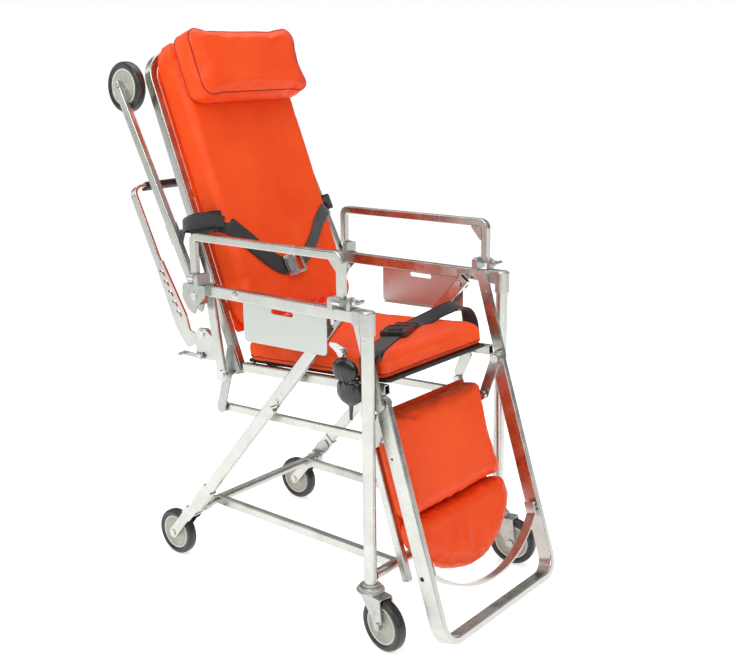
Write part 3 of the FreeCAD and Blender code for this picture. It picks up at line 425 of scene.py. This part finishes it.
# --- cushions -------------------------------------------------------------------------------
CLOTH = {
    "quality": 6,
    "mass": 0.35,
    "use_pressure": True,
    "uniform_pressure_force": 4.0,
    "tension_stiffness": 12,
    "compression_stiffness": 8,
    "bending_stiffness": 0.8,
    "shrink_min": -0.010,
}
CLOTH_FRAMES = 20
HELD_DEPTH = 3.0      # how far from the board the cover is held, in mm
CUSHION_VOXEL = 5.5
PIPING_PROUD = 0.3    # piping's centre line above the cover


def settle(obj, matrix, floor, cap):
    """Swell a closed cover with air pressure, its back face held by the board it rests on."""
    inverse = matrix.inverted()
    mesh = obj.data
    start = [v.co.copy() for v in mesh.vertices]
    group = obj.vertex_groups.new(name="held")
    held = [v.index for v in mesh.vertices if abs((inverse @ v.co).z - floor) < HELD_DEPTH]
    group.add(held, 1.0, "REPLACE")
    cloth = obj.modifiers.new("Cloth", "CLOTH")
    settings = cloth.settings
    for key, value in CLOTH.items():
        setattr(settings, key, value)
    settings.vertex_group_mass = "held"
    settings.effector_weights.gravity = 0.0
    scene = bpy.context.scene
    for number in range(1, CLOTH_FRAMES + 1):
        scene.frame_set(number)
    graph = bpy.context.evaluated_depsgraph_get()
    moved = [v.co.copy() for v in obj.evaluated_get(graph).data.vertices]
    obj.modifiers.clear()
    scene.frame_set(1)
    for v, a, b in zip(mesh.vertices, start, moved):
        step = b - a
        if step.length > cap * MM:
            step *= cap * MM / step.length
        v.co = a + step
    mesh.update()


def pucker(obj, matrix, rules):
    """Small gathered folds. Each rule is (x, y, reach_x, reach_y, height, waves per mm)."""
    inverse = matrix.inverted()
    mesh = obj.data
    normals = [v.normal.copy() for v in mesh.vertices]
    for v, n in zip(mesh.vertices, normals):
        p = inverse @ v.co
        push = 0.0
        for x, y, reach_x, reach_y, height, rate in rules:
            fade = math.exp(-(((p.x - x) / reach_x) ** 2) - ((p.y - y) / reach_y) ** 2)
            if fade > 0.02:
                wave = noise.noise(Vector((p.x * rate * 0.35, p.y * rate, p.z * rate * 0.5)))
                push += fade * height * wave
        v.co += n * push * MM
    mesh.update()


def make_cushion(
    name, node, matrix, body, floor, front, inset, thin, cap, rules=(), slide=0.0, wedge=0.0
):
    """A stuffed pad from its CAD solid: shrunk a little, remeshed, swollen, smoothed and gathered.

    floor and front are the heights of the board and of the pad's face. The solid loses inset all
    round and thin off its face, and swells back by cap at most. slide moves it along the panel,
    and wedge makes its far end thicker.
    """
    source = nodes[node].data
    inverse = matrix.inverted()
    points = [inverse @ v.co for v in source.vertices]
    low = Vector([min(p[i] for p in points) for i in range(3)])
    high = Vector([max(p[i] for p in points) for i in range(3)])
    mid = (low + high) / 2
    depth = abs(front - floor)
    verts = []
    for p in points:
        q = p.copy()
        q.x = mid.x + (p.x - mid.x) * (1 - 2 * inset / (high.x - low.x))
        q.y = mid.y + (p.y - mid.y) * (1 - 2 * inset / (high.y - low.y))
        q.x += slide
        share = max(0.0, (p.x - low.x) / (high.x - low.x))
        q.z = floor + (p.z - floor) * (1 - (thin - wedge * share) / depth)
        verts.append(matrix @ q)
    mesh = bpy.data.meshes.new(name)
    mesh.from_pydata([tuple(v) for v in verts], [], [tuple(f.vertices) for f in source.polygons])
    mesh.update()
    obj = bpy.data.objects.new(name, mesh)
    bpy.context.scene.collection.objects.link(obj)
    remesh = obj.modifiers.new("Remesh", "REMESH")
    remesh.mode = "VOXEL"
    remesh.voxel_size = CUSHION_VOXEL * MM
    bake(obj)
    settle(obj, matrix, floor, cap)
    smooth = obj.modifiers.new("Smooth", "SMOOTH")
    smooth.factor = 0.5
    smooth.iterations = 3
    subdivision = obj.modifiers.new("Subdivision", "SUBSURF")
    subdivision.levels = subdivision.render_levels = 1
    bake(obj)
    if rules:
        pucker(obj, matrix, rules)
    finish_piece(obj, body, "orange_vinyl")
    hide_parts(node)
    return obj


def outline(x0, x1, half, corner, steps=10):
    """Points and outward directions round a rounded rectangle."""
    found = []
    for cx, cy, first in (
        (x1 - corner, half - corner, 0), (x0 + corner, half - corner, 90),
        (x0 + corner, -half + corner, 180), (x1 - corner, -half + corner, 270),
    ):
        for i in range(steps + 1):
            a = math.radians(first + 90 * i / steps)
            found.append((cx + corner * math.cos(a), cy + corner * math.sin(a), math.cos(a), math.sin(a)))
    return found


def dense_loop(loop, gap):
    """The same loop with points no further apart than gap."""
    rows = []
    for i, a in enumerate(loop):
        b = loop[(i + 1) % len(loop)]
        pieces = max(1, int(math.hypot(b[0] - a[0], b[1] - a[1]) / gap))
        for k in range(pieces):
            t = k / pieces
            rows.append(tuple(u + (v - u) * t for u, v in zip(a, b)))
    return rows


def welt(name, cushion, matrix, loop, z, slope, radius, body, mat=None):
    """Piping that follows a cushion's surface at one height. slope tilts the rays along the panel's z."""
    tree = local_tree(cushion, matrix)
    points = []
    for x, y, ox, oy in dense_loop(loop, 6.0):
        out = Vector((ox, oy, slope)).normalized()
        origin = Vector((x, y, z)) + out * 70
        hit = tree.ray_cast(origin, -out)[0]
        if hit is not None:
            points.append(matrix @ (hit + out * PIPING_PROUD))
    return tube(name, points, radius * MM, body, "orange_vinyl", mat, closed=True)


seat = make_cushion(
    "seat_cushion_soft", "seat_cushion", SEAT, "frame", 16.3, 66.0, 5.0, 5.0, 8.0,
    [(4, 0, 22, 260, 5.0, 0.06), (10, -190, 30, 40, 5.0, 0.09), (10, 190, 30, 40, 5.0, 0.09)],
)
back = make_cushion(
    "back_cushion_soft", "back_cushion", BACK, "backrest", -49.0, -107.0, 5.0, 5.0, 9.0,
    [(84, 0, 26, 260, 7.0, 0.06), (88, -180, 34, 40, 7.0, 0.08), (770, -180, 30, 34, 6.0, 0.09),
     (770, 180, 30, 34, 6.0, 0.09)],
)
pillow = make_cushion(
    "head_pillow_soft", "head_pillow", BACK, "backrest", -108.0, -181.0, 5.0, 6.0, 9.0,
    [(620, -170, 30, 30, 3.0, 0.08), (620, 170, 30, 30, 3.0, 0.08)],
)
make_cushion(
    "calf_cushion_soft", "calf_cushion", PAD, "legrest_pad", -27.3, 23.0, 4.0, 5.0, 8.0,
    slide=3.5, rules=[(62, 0, 22, 240, 5.0, 0.06), (292, 0, 10, 240, 3.0, 0.08)],
)
make_cushion(
    "foot_cushion_soft", "foot_cushion", PAD, "legrest_pad", -27.3, 23.0, 4.0, 5.0, 8.0,
    slide=-3.5, wedge=16.0, rules=[(304, 0, 10, 240, 3.0, 0.08), (400, 0, 60, 200, 2.5, 0.05)],
)

# The pillow's two pipings and the seat's lower piping carry the painted seam shade; the back's piping keeps the
# cover's own colour.
welt("pillow_piping_front", pillow, BACK, outline(618, 784, 178, 32), -172, -1.0, 1.7, "backrest", SEAM_SHADE_PIPING)
welt("pillow_piping_rear", pillow, BACK, outline(618, 784, 178, 32), -118, 0.8, 1.2, "backrest", SEAM_SHADE_PIPING)
welt("seat_welt_lower", seat, SEAT, outline(6, 420, 196, 28), 27, 0.0, 1.5, "frame", SEAM_SHADE_PIPING)
welt("back_welt", back, BACK, outline(86, 781, 192, 46), -62, 0.0, 1.4, "backrest")


# --- belts ----------------------------------------------------------------------------------
# A strap's keys are (x, y, z, outward x, y, z, width, 1 where it lies on the cushion).
back_tree = local_tree(back, BACK)
seat_tree = local_tree(seat, SEAT)
FRONT = (0.0, 0.0, -1.0)

near_chest = [
    (344, -194, -14, 0.0, -0.3, 1.0, 34, 0),
    (344, -210, -22, 0.0, -1.0, 0.4, 38, 0),
    (345, -216, -44, 0.0, -1.0, 0.0, 42, 0),
    (346, -213, -72, 0.0, -1.0, -0.15, 45, 0),
    (345, -204, -100, 0.0, -0.8, -0.7, 47, 0),
    (336, -184, -116, 0.0, -0.2, -1.0, 48, 1),
    (316, -160, -110, *FRONT, 47, 1),
    (276, -120, -110, *FRONT, 46, 1),
    (234, -78, -110, *FRONT, 45, 1),
    (212, -50, -112, *FRONT, 44, 1),
    (203, -30, -113, *FRONT, 42, 1),
]
belt = ribbon(
    "chest_belt_near", strap_rows(BACK, near_chest, back_tree, 1.2), "backrest", "black_webbing", thick=2.2
)
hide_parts("chest_belt")
far_chest = [
    (352, 194, -14, 0.0, 0.3, 1.0, 40, 0),
    (352, 211, -26, 0.0, 1.0, 0.3, 40, 0),
    (350, 212, -60, 0.0, 1.0, 0.0, 40, 0),
    (346, 203, -100, 0.0, 0.8, -0.7, 38, 0),
    (336, 182, -116, 0.0, 0.2, -1.0, 36, 1),
    (300, 132, -110, *FRONT, 32, 1),
    (262, 96, -110, *FRONT, 30, 1),
    (232, 62, -111, *FRONT, 32, 1),
    (212, 22, -113, *FRONT, 36, 1),
]
# The far chest strap wears the lighter copy of the webbing as painted light.
ribbon(
    "chest_belt_far", strap_rows(BACK, far_chest, back_tree, 1.2), "backrest", "black_webbing",
    LIT_FAR_WEBBING, thick=2.0,
)
bunch = [
    (352, -192, -8, 0.2, -0.3, 1.0, 22, 0),
    (360, -218, -12, 0.3, -1.0, 0.5, 30, 0),
    (360, -229, -42, 0.4, -1.0, 0.0, 36, 0),
    (356, -226, -76, 0.3, -1.0, -0.3, 38, 0),
    (348, -211, -103, 0.1, -0.7, -0.8, 34, 0),
    (334, -190, -120, 0.0, -0.3, -1.0, 26, 0),
]
ribbon("chest_belt_bunch", strap_rows(BACK, bunch), "backrest", "black_webbing", thick=2.4)
tail = [
    (352, -222, -12, 0.0, -1.0, 0.3, 30, 0),
    (320, -228, 2, 0.1, -1.0, 0.4, 30, 0),
    (280, -230, 4, 0.0, -0.9, 0.5, 26, 0),
    (250, -226, 0, 0.0, -1.0, 0.2, 20, 0),
    (226, -223, -4, 0.0, -1.0, 0.0, 15, 0),
]
ribbon("chest_belt_tail", strap_rows(BACK, tail), "backrest", "black_webbing", thick=1.8)

near_lap = [
    (392, -206, 14, 0.0, -1.0, 0.0, 46, 0),
    (391, -207, 44, 0.0, -1.0, 0.1, 46, 0),
    (389, -203, 62, 0.0, -0.8, 0.7, 46, 0),
    (384, -186, 70, 0.0, -0.1, 1.0, 46, 1),
    (368, -150, 66, 0.0, 0.0, 1.0, 46, 1),
    (350, -108, 66, 0.0, 0.0, 1.0, 46, 1),
    (334, -66, 68, 0.0, 0.0, 1.0, 46, 1),
    (324, -34, 70, 0.0, 0.0, 1.0, 44, 1),
]
lap = ribbon(
    "lap_belt_near", strap_rows(SEAT, near_lap, seat_tree, 1.2), "frame", "black_webbing", thick=2.2
)
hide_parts("lap_belt")
far_lap = [
    (292, 60, 72, 0.0, 0.0, 1.0, 44, 0),
    (296, 86, 73, 0.25, 0.0, 1.0, 42, 0),
    (306, 114, 78, 0.7, -0.3, 1.0, 36, 0),
    (318, 142, 88, 1.0, -0.7, 0.8, 30, 0),
    (332, 168, 97, 0.9, -0.5, 0.9, 32, 0),
    (346, 190, 99, 0.4, 0.3, 1.0, 36, 0),
    (358, 206, 86, 0.1, 0.9, 0.5, 40, 0),
    (364, 211, 60, 0.0, 1.0, 0.0, 44, 0),
    (368, 208, 32, 0.0, 1.0, 0.0, 46, 0),
    (368, 206, 14, 0.0, 1.0, 0.0, 46, 0),
]
ribbon("lap_belt_far", strap_rows(SEAT, far_lap), "frame", "black_webbing", thick=2.0)


def soft_plate(name, matrix, centre, angle, length, width, z0, z1, body, slot, windows, round_to):
    """A moulded plate with rounded corners, bevelled edges and square windows, lying on a panel."""
    mesh = bpy.data.meshes.new(name)
    bm = bmesh.new()
    ring = outline(-length / 2, length / 2, width / 2, round_to, 6)
    face = bm.faces.new([bm.verts.new((x, y, z0)) for x, y, _, _ in ring])
    made = bmesh.ops.extrude_face_region(bm, geom=[face])
    for v in [g for g in made["geom"] if isinstance(g, bmesh.types.BMVert)]:
        v.co.z = z1
    bmesh.ops.recalc_face_normals(bm, faces=bm.faces)
    rim = [e for e in bm.edges if abs(e.verts[0].co.z - e.verts[1].co.z) < 1e-6]
    bmesh.ops.bevel(bm, geom=rim, offset=min(1.6, abs(z1 - z0) * 0.3), segments=3, affect="EDGES")
    bm.to_mesh(mesh)
    bm.free()
    obj = bpy.data.objects.new(name, mesh)
    bpy.context.scene.collection.objects.link(obj)
    for number, (cx, cy, w, h) in enumerate(windows):
        cutter_mesh = bpy.data.meshes.new("cutter")
        low, high = sorted((z0, z1))
        corners = [
            (cx + sx * w / 2, cy + sy * h / 2, z)
            for z in (low - 5, high + 5) for sx, sy in ((-1, -1), (1, -1), (1, 1), (-1, 1))
        ]
        cutter_mesh.from_pydata(
            corners, [], [(3, 2, 1, 0), (4, 5, 6, 7), (0, 1, 5, 4), (1, 2, 6, 5), (2, 3, 7, 6), (3, 0, 4, 7)]
        )
        cutter = bpy.data.objects.new("cutter_%d" % number, cutter_mesh)
        bpy.context.scene.collection.objects.link(cutter)
        cut = obj.modifiers.new("Cut", "BOOLEAN")
        cut.operation = "DIFFERENCE"
        cut.object = cutter
        bake(obj)
        bpy.data.objects.remove(cutter)
    turn = Matrix.Rotation(math.radians(angle), 4, "Z")
    obj.data.transform(matrix @ Matrix.Translation(Vector((centre[0], centre[1], 0))) @ turn)
    obj.data.update()
    finish_piece(obj, body, slot)
    smooth_angle(obj, 40)
    return obj


buckle = soft_plate(
    "chest_buckle_frame", BACK, (206, -6), 84, 62, 52, -122.5, -117.5, "backrest", "buckle_metal",
    [(-14, 0, 16, 38), (13, 0, 18, 38)], 5.0,
)
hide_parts("chest_buckle")
soft_plate(
    "chest_buckle_tongue", BACK, (206, -20), 84, 30, 40, -126.0, -123.0, "backrest", "buckle_metal", (), 4.0
)
tube(
    "chest_buckle_bar", [BACK @ Vector((182, -8, -122)), BACK @ Vector((230, -4, -122))], 2.4 * MM,
    "backrest", "buckle_metal", sides=16,
)
lap_female = soft_plate(
    "lap_buckle_body", SEAT, (316, -10), 112, 76, 62, 70.5, 83.0, "frame", "buckle_plastic",
    [(26, 0, 8, 46)], 8.0,
)
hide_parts("lap_buckle")
soft_plate(
    "lap_buckle_tongue", SEAT, (298, 44), 112, 50, 54, 71.0, 80.0, "frame", "buckle_plastic",
    [(12, 0, 7, 42)], 7.0,
)
soft_plate("lap_buckle_button", SEAT, (320, -20), 112, 20, 32, 82.6, 85.2, "frame", "black_grip", (), 4.0)


# --- pouch ----------------------------------------------------------------------------------
POUCH_WAIST = (626.0, -246.5, 594.0)
POUCH_FOOT = 541.0            # below this is only the hanging strap
POUCH_SWELL = (1.30, 1.5, 0.96)
POUCH_WAIST_REACH = 12


def make_pouch():
    """Shiny soft pouch of two lobes, gathered at its waist."""
    source = nodes["strap_grip"].data
    inverse = WORLD.inverted()
    verts = []
    for vertex in source.vertices:
        p = inverse @ vertex.co
        if p.z > POUCH_FOOT:
            p = Vector([mid + (v - mid) * swell for v, mid, swell in zip(p, POUCH_WAIST, POUCH_SWELL)])
        verts.append(WORLD @ p)
    mesh = bpy.data.meshes.new("pouch")
    mesh.from_pydata([tuple(v) for v in verts], [], [tuple(f.vertices) for f in source.polygons])
    obj = bpy.data.objects.new("pouch_soft", mesh)
    bpy.context.scene.collection.objects.link(obj)
    remesh = obj.modifiers.new("Remesh", "REMESH")
    remesh.mode = "VOXEL"
    remesh.voxel_size = 2.2 * MM
    smooth = obj.modifiers.new("Smooth", "SMOOTH")
    smooth.iterations = 6
    bake(obj)
    mesh = obj.data
    normals = [v.normal.copy() for v in mesh.vertices]
    for v, n in zip(mesh.vertices, normals):
        p = inverse @ v.co
        waist = math.exp(-(((p.z - POUCH_WAIST[2]) / POUCH_WAIST_REACH) ** 2))
        folds = noise.noise(Vector((p.x * 0.16, p.y * 0.16, p.z * 0.035)))
        v.co += n * (folds * (0.8 + 2.2 * waist) + 3.0 * waist) * MM
    mesh.update()
    subdivision = obj.modifiers.new("Subdivision", "SUBSURF")
    subdivision.levels = subdivision.render_levels = 1
    bake(obj)
    finish_piece(obj, "frame", "black_pouch")
    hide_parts("strap_grip")


make_pouch()


# --- wheels ---------------------------------------------------------------------------------
WHEEL_RADIUS = 59.0
TYRE_INNER = 43.2
TYRE_HALF_WIDTH = 13.0
SHOULDER = 7.5        # height of the tyre's rounded shoulder
SHOULDER_STEPS = 16


def rounded_tyre():
    """Tyre outline with rounded shoulders and a narrower bead."""
    side = []
    for i in range(SHOULDER_STEPS):
        a = math.pi / 2 * i / SHOULDER_STEPS
        side.append((WHEEL_RADIUS - SHOULDER * (1 - math.sin(a)), TYRE_HALF_WIDTH * math.cos(a) ** 0.62))
    side.append((WHEEL_RADIUS, 0.0))
    bead = [
        (TYRE_INNER, TYRE_HALF_WIDTH - 3.2), (TYRE_INNER + 2.4, TYRE_HALF_WIDTH - 1.6),
        (TYRE_INNER + 5.0, TYRE_HALF_WIDTH - 0.6),
    ]
    upper = bead + side
    return upper + [(r, -w) for r, w in reversed(upper[:-1])]


def hub_outline():
    """Dished plastic hub with a raised boss and a raised ring."""
    upper = [
        (5.4, 12.6), (10.2, 12.6), (11.2, 11.6), (12.6, 6.4), (14.5, 5.6), (26.5, 5.2), (28.0, 6.4),
        (31.0, 6.4), (32.4, 5.4), (36.4, 6.0), (38.6, 9.2), (39.4, 9.6),
    ]
    return upper + [(r, -w) for r, w in reversed(upper)]


def rim_outline():
    """Pale ring between hub and tyre."""
    upper = [(39.2, 8.6), (39.6, 10.4), (40.8, 11.0), (42.4, 10.8), (43.3, 9.6)]
    return upper + [(r, -w) for r, w in reversed(upper)]


def cap_outline(r, foot, top):
    """Low domed head for the bolts and for the dark discs of painted hole shade; it closes on its own axis."""
    return [
        (0.0, foot), (r, foot), (r, foot + (top - foot) * 0.55),
        (r * 0.82, top - 0.3), (r * 0.5, top), (0.0, top),
    ]


def make_wheel(stem, side):
    low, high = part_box(stem + "_tyre_" + side)
    centre = (low + high) / 2
    body = stem + "_wheel_" + side
    joint = next(j for j in frame["joints"] if j["child"] == body)
    axis = Vector(joint["axis"])
    tyre = lathe(body + "_tyre", rounded_tyre(), centre, axis, body, "tyre_rubber", segments=128)
    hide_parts(stem + "_tyre_" + side)
    hub = lathe(body + "_hub", hub_outline(), centre, axis, body, "hub_plastic")
    smooth_angle(hub, 40)
    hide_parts(stem + "_hub_" + side)
    lathe(body + "_rim", rim_outline(), centre, axis, body, "hub_plastic", RIM)


for stem in ("loading", "rear", "caster"):
    for side, _ in SIDES:
        make_wheel(stem, side)


CASTER_PIVOT = (684, 251)   # x and distance from the middle


def bearing_covers():
    """Stepped round cover of each caster's swivel bearing."""
    profile = [
        (14.0, 134.0), (27.0, 134.0), (30.0, 135.2), (31.0, 137.5), (30.2, 140.4), (27.6, 141.4),
        (26.4, 142.0), (26.2, 145.6), (24.6, 147.4), (20.0, 148.2), (18.4, 148.4), (18.4, 142.5),
        (14.0, 142.5),
    ]
    for side, sign in SIDES:
        centre = WORLD @ Vector((CASTER_PIVOT[0], CASTER_PIVOT[1] * sign, 0))
        cover = lathe(
            "caster_bearing_cover_" + side, profile, centre, Vector((0, 0, 1)), "caster_" + side, "zinc_plate"
        )
        smooth_angle(cover, 45)


bearing_covers()


# --- small fittings -------------------------------------------------------------------------
# Heads on the outer faces of both sides: name, x, distance from the middle, z, radius, height,
# body, and a material where it isn't the bolts' own. The two leg rest entries are dark discs of
# painted shade where the leg rest has drilled holes; the holes are not cut.
HEADS = (
    ("rail_screw_a", 240, 261, 740, 2.6, 1.2, "frame", None),
    ("rail_screw_b", 262, 261, 739, 2.6, 1.2, "frame", None),
    ("rail_bolt", 312, 261, 738, 6.5, 5.0, "frame", None),
    ("rail_bolt_washer", 312, 261, 738, 9.5, 1.2, "frame", None),
    ("panel_screw_a", 420, 261, 730, 2.4, 1.2, "frame", None),
    ("panel_screw_b", 487, 261, 731, 2.4, 1.2, "frame", None),
    # Dark discs painted as the shade of the leg rest's two drilled holes, one large and one small.
    ("legrest_large_hole_shade", 803, 227, 190, 5.2, 0.9, "legrest", HOLE_SHADE_DISC),
    ("legrest_small_hole_shade", 726, 227, 438, 2.8, 0.9, "legrest", HOLE_SHADE_DISC),
    ("leg_screw_a", 421, 236, 522, 2.4, 0.9, "frame", None),
    ("leg_screw_b", 369, 236, 462, 2.4, 0.9, "frame", None),
    ("leg_screw_c", 380, 236, 468, 2.4, 0.9, "frame", None),
    ("post_screw", 684, 265, 690, 3.0, 1.4, "frame", None),
)
HEAD_FOOT = -0.8      # how deep a head sits in its face


def add_heads():
    for side, sign in SIDES:
        for name, x, y, z, r, top, body, mat in HEADS:
            centre = WORLD @ Vector((x, sign * y, z))
            head = lathe(
                "%s_%s" % (name, side), cap_outline(r, HEAD_FOOT, top), centre, Vector((0, sign, 0)), body,
                "steel_bolts", mat, segments=28,
            )
            smooth_angle(head, 50)


add_heads()


# --- stage, light and camera ----------------------------------------------------------------
FLOOR_SIZE = 30.0
FLOOR_CELLS = 6
FLOOR_DROP = 0.0005   # the floor lies this far under the wheels
# name, place, target, size and power of each soft light
LIGHTS = (
    ("key", (0.6, -2.2, 3.0), (0.0, 0.0, 0.6), 2.2, 48),
    ("fill", (2.8, -0.6, 1.6), (0.0, 0.0, 0.6), 2.0, 14),
    ("top", (-0.6, 0.6, 3.4), (0.0, 0.0, 0.6), 2.4, 34),
    ("rear", (-2.6, -1.2, 1.8), (0.0, 0.0, 0.7), 1.6, 10),
)


def add_stage():
    mesh = bpy.data.meshes.new("floor")
    row = FLOOR_CELLS + 1
    verts = [
        (FLOOR_SIZE * (i / FLOOR_CELLS - 0.5), FLOOR_SIZE * (j / FLOOR_CELLS - 0.5), -FLOOR_DROP)
        for j in range(row) for i in range(row)
    ]
    faces = [
        (j * row + i, j * row + i + 1, (j + 1) * row + i + 1, (j + 1) * row + i)
        for j in range(FLOOR_CELLS) for i in range(FLOOR_CELLS)
    ]
    mesh.from_pydata(verts, [], faces)
    floor = bpy.data.objects.new("floor", mesh)
    bpy.context.scene.collection.objects.link(floor)
    mesh.materials.append(
        surface("pale_floor", (0.90, 0.90, 0.90), (0.93, 0.93, 0.93), (0.75, 0.85), 1.5, 0.02, 0.0001,
            **{"Emission Color": (1, 1, 1, 1), "Emission Strength": 0.62})
    )


def add_light(name, place, target, size, power):
    data = bpy.data.lights.new(name, "AREA")
    data.size = size
    data.energy = power
    lamp = bpy.data.objects.new(name, data)
    lamp.location = place
    lamp.rotation_mode = "QUATERNION"
    lamp.rotation_quaternion = (Vector(target) - Vector(place)).to_track_quat("-Z", "Y")
    bpy.context.scene.collection.objects.link(lamp)


def add_world():
    """White to the camera and a soft top-to-bottom gradient to everything else."""
    world = bpy.data.worlds.new("studio")
    bpy.context.scene.world = world
    world.use_nodes = True
    tree = world.node_tree
    tree.nodes.clear()
    link = tree.links.new
    out = add_node(tree, "ShaderNodeOutputWorld")
    place = add_node(tree, "ShaderNodeTexCoord").outputs["Generated"]
    split = add_node(tree, "ShaderNodeSeparateXYZ")
    link(place, split.inputs[0])
    shade = ramp(
        tree, split.outputs[2], [(0.0, grey(0.22)), (0.10, grey(0.26)), (0.40, grey(0.62)), (1.0, grey(1.0))]
    )
    soft = add_node(tree, "ShaderNodeBackground", Strength=0.55)
    link(shade, soft.inputs[0])
    white = add_node(tree, "ShaderNodeBackground", Strength=1.0)
    white.inputs[0].default_value = (1, 1, 1, 1)
    mix = add_node(tree, "ShaderNodeMixShader")
    link(add_node(tree, "ShaderNodeLightPath").outputs["Is Camera Ray"], mix.inputs[0])
    link(soft.outputs[0], mix.inputs[1])
    link(white.outputs[0], mix.inputs[2])
    link(mix.outputs[0], out.inputs[0])


def add_camera():
    """The photograph's own view, fitted to the object's level and upright lines."""
    azimuth = math.radians(41.705)
    elevation = math.radians(14.679)
    roll = math.radians(-1.347)
    distance = 2.5223
    target = WORLD @ Vector((350.0, 0.0, 596.6))
    back = Vector((
        math.sin(azimuth) * math.cos(elevation), -math.cos(azimuth) * math.cos(elevation), math.sin(elevation)
    ))
    right = Vector((math.cos(azimuth), math.sin(azimuth), 0))
    up = back.cross(right)
    x_axis = right * math.cos(roll) + up * math.sin(roll)
    y_axis = up * math.cos(roll) - right * math.sin(roll)
    data = bpy.data.cameras.new("camera")
    data.sensor_width = 36.0
    data.sensor_fit = "HORIZONTAL"
    data.lens = 50.45
    data.shift_x = 0.0613
    data.clip_start = 0.05
    data.clip_end = 60
    camera = bpy.data.objects.new("camera", data)
    turn = Matrix((x_axis, y_axis, back)).transposed()
    camera.matrix_world = Matrix.Translation(target + back * distance) @ turn.to_4x4()
    bpy.context.scene.collection.objects.link(camera)
    bpy.context.scene.camera = camera


add_stage()
add_world()
for name, place, target, size, power in LIGHTS:
    add_light(name, place, target, size, power)
add_camera()
bpy.context.scene.view_settings.view_transform = "Standard"
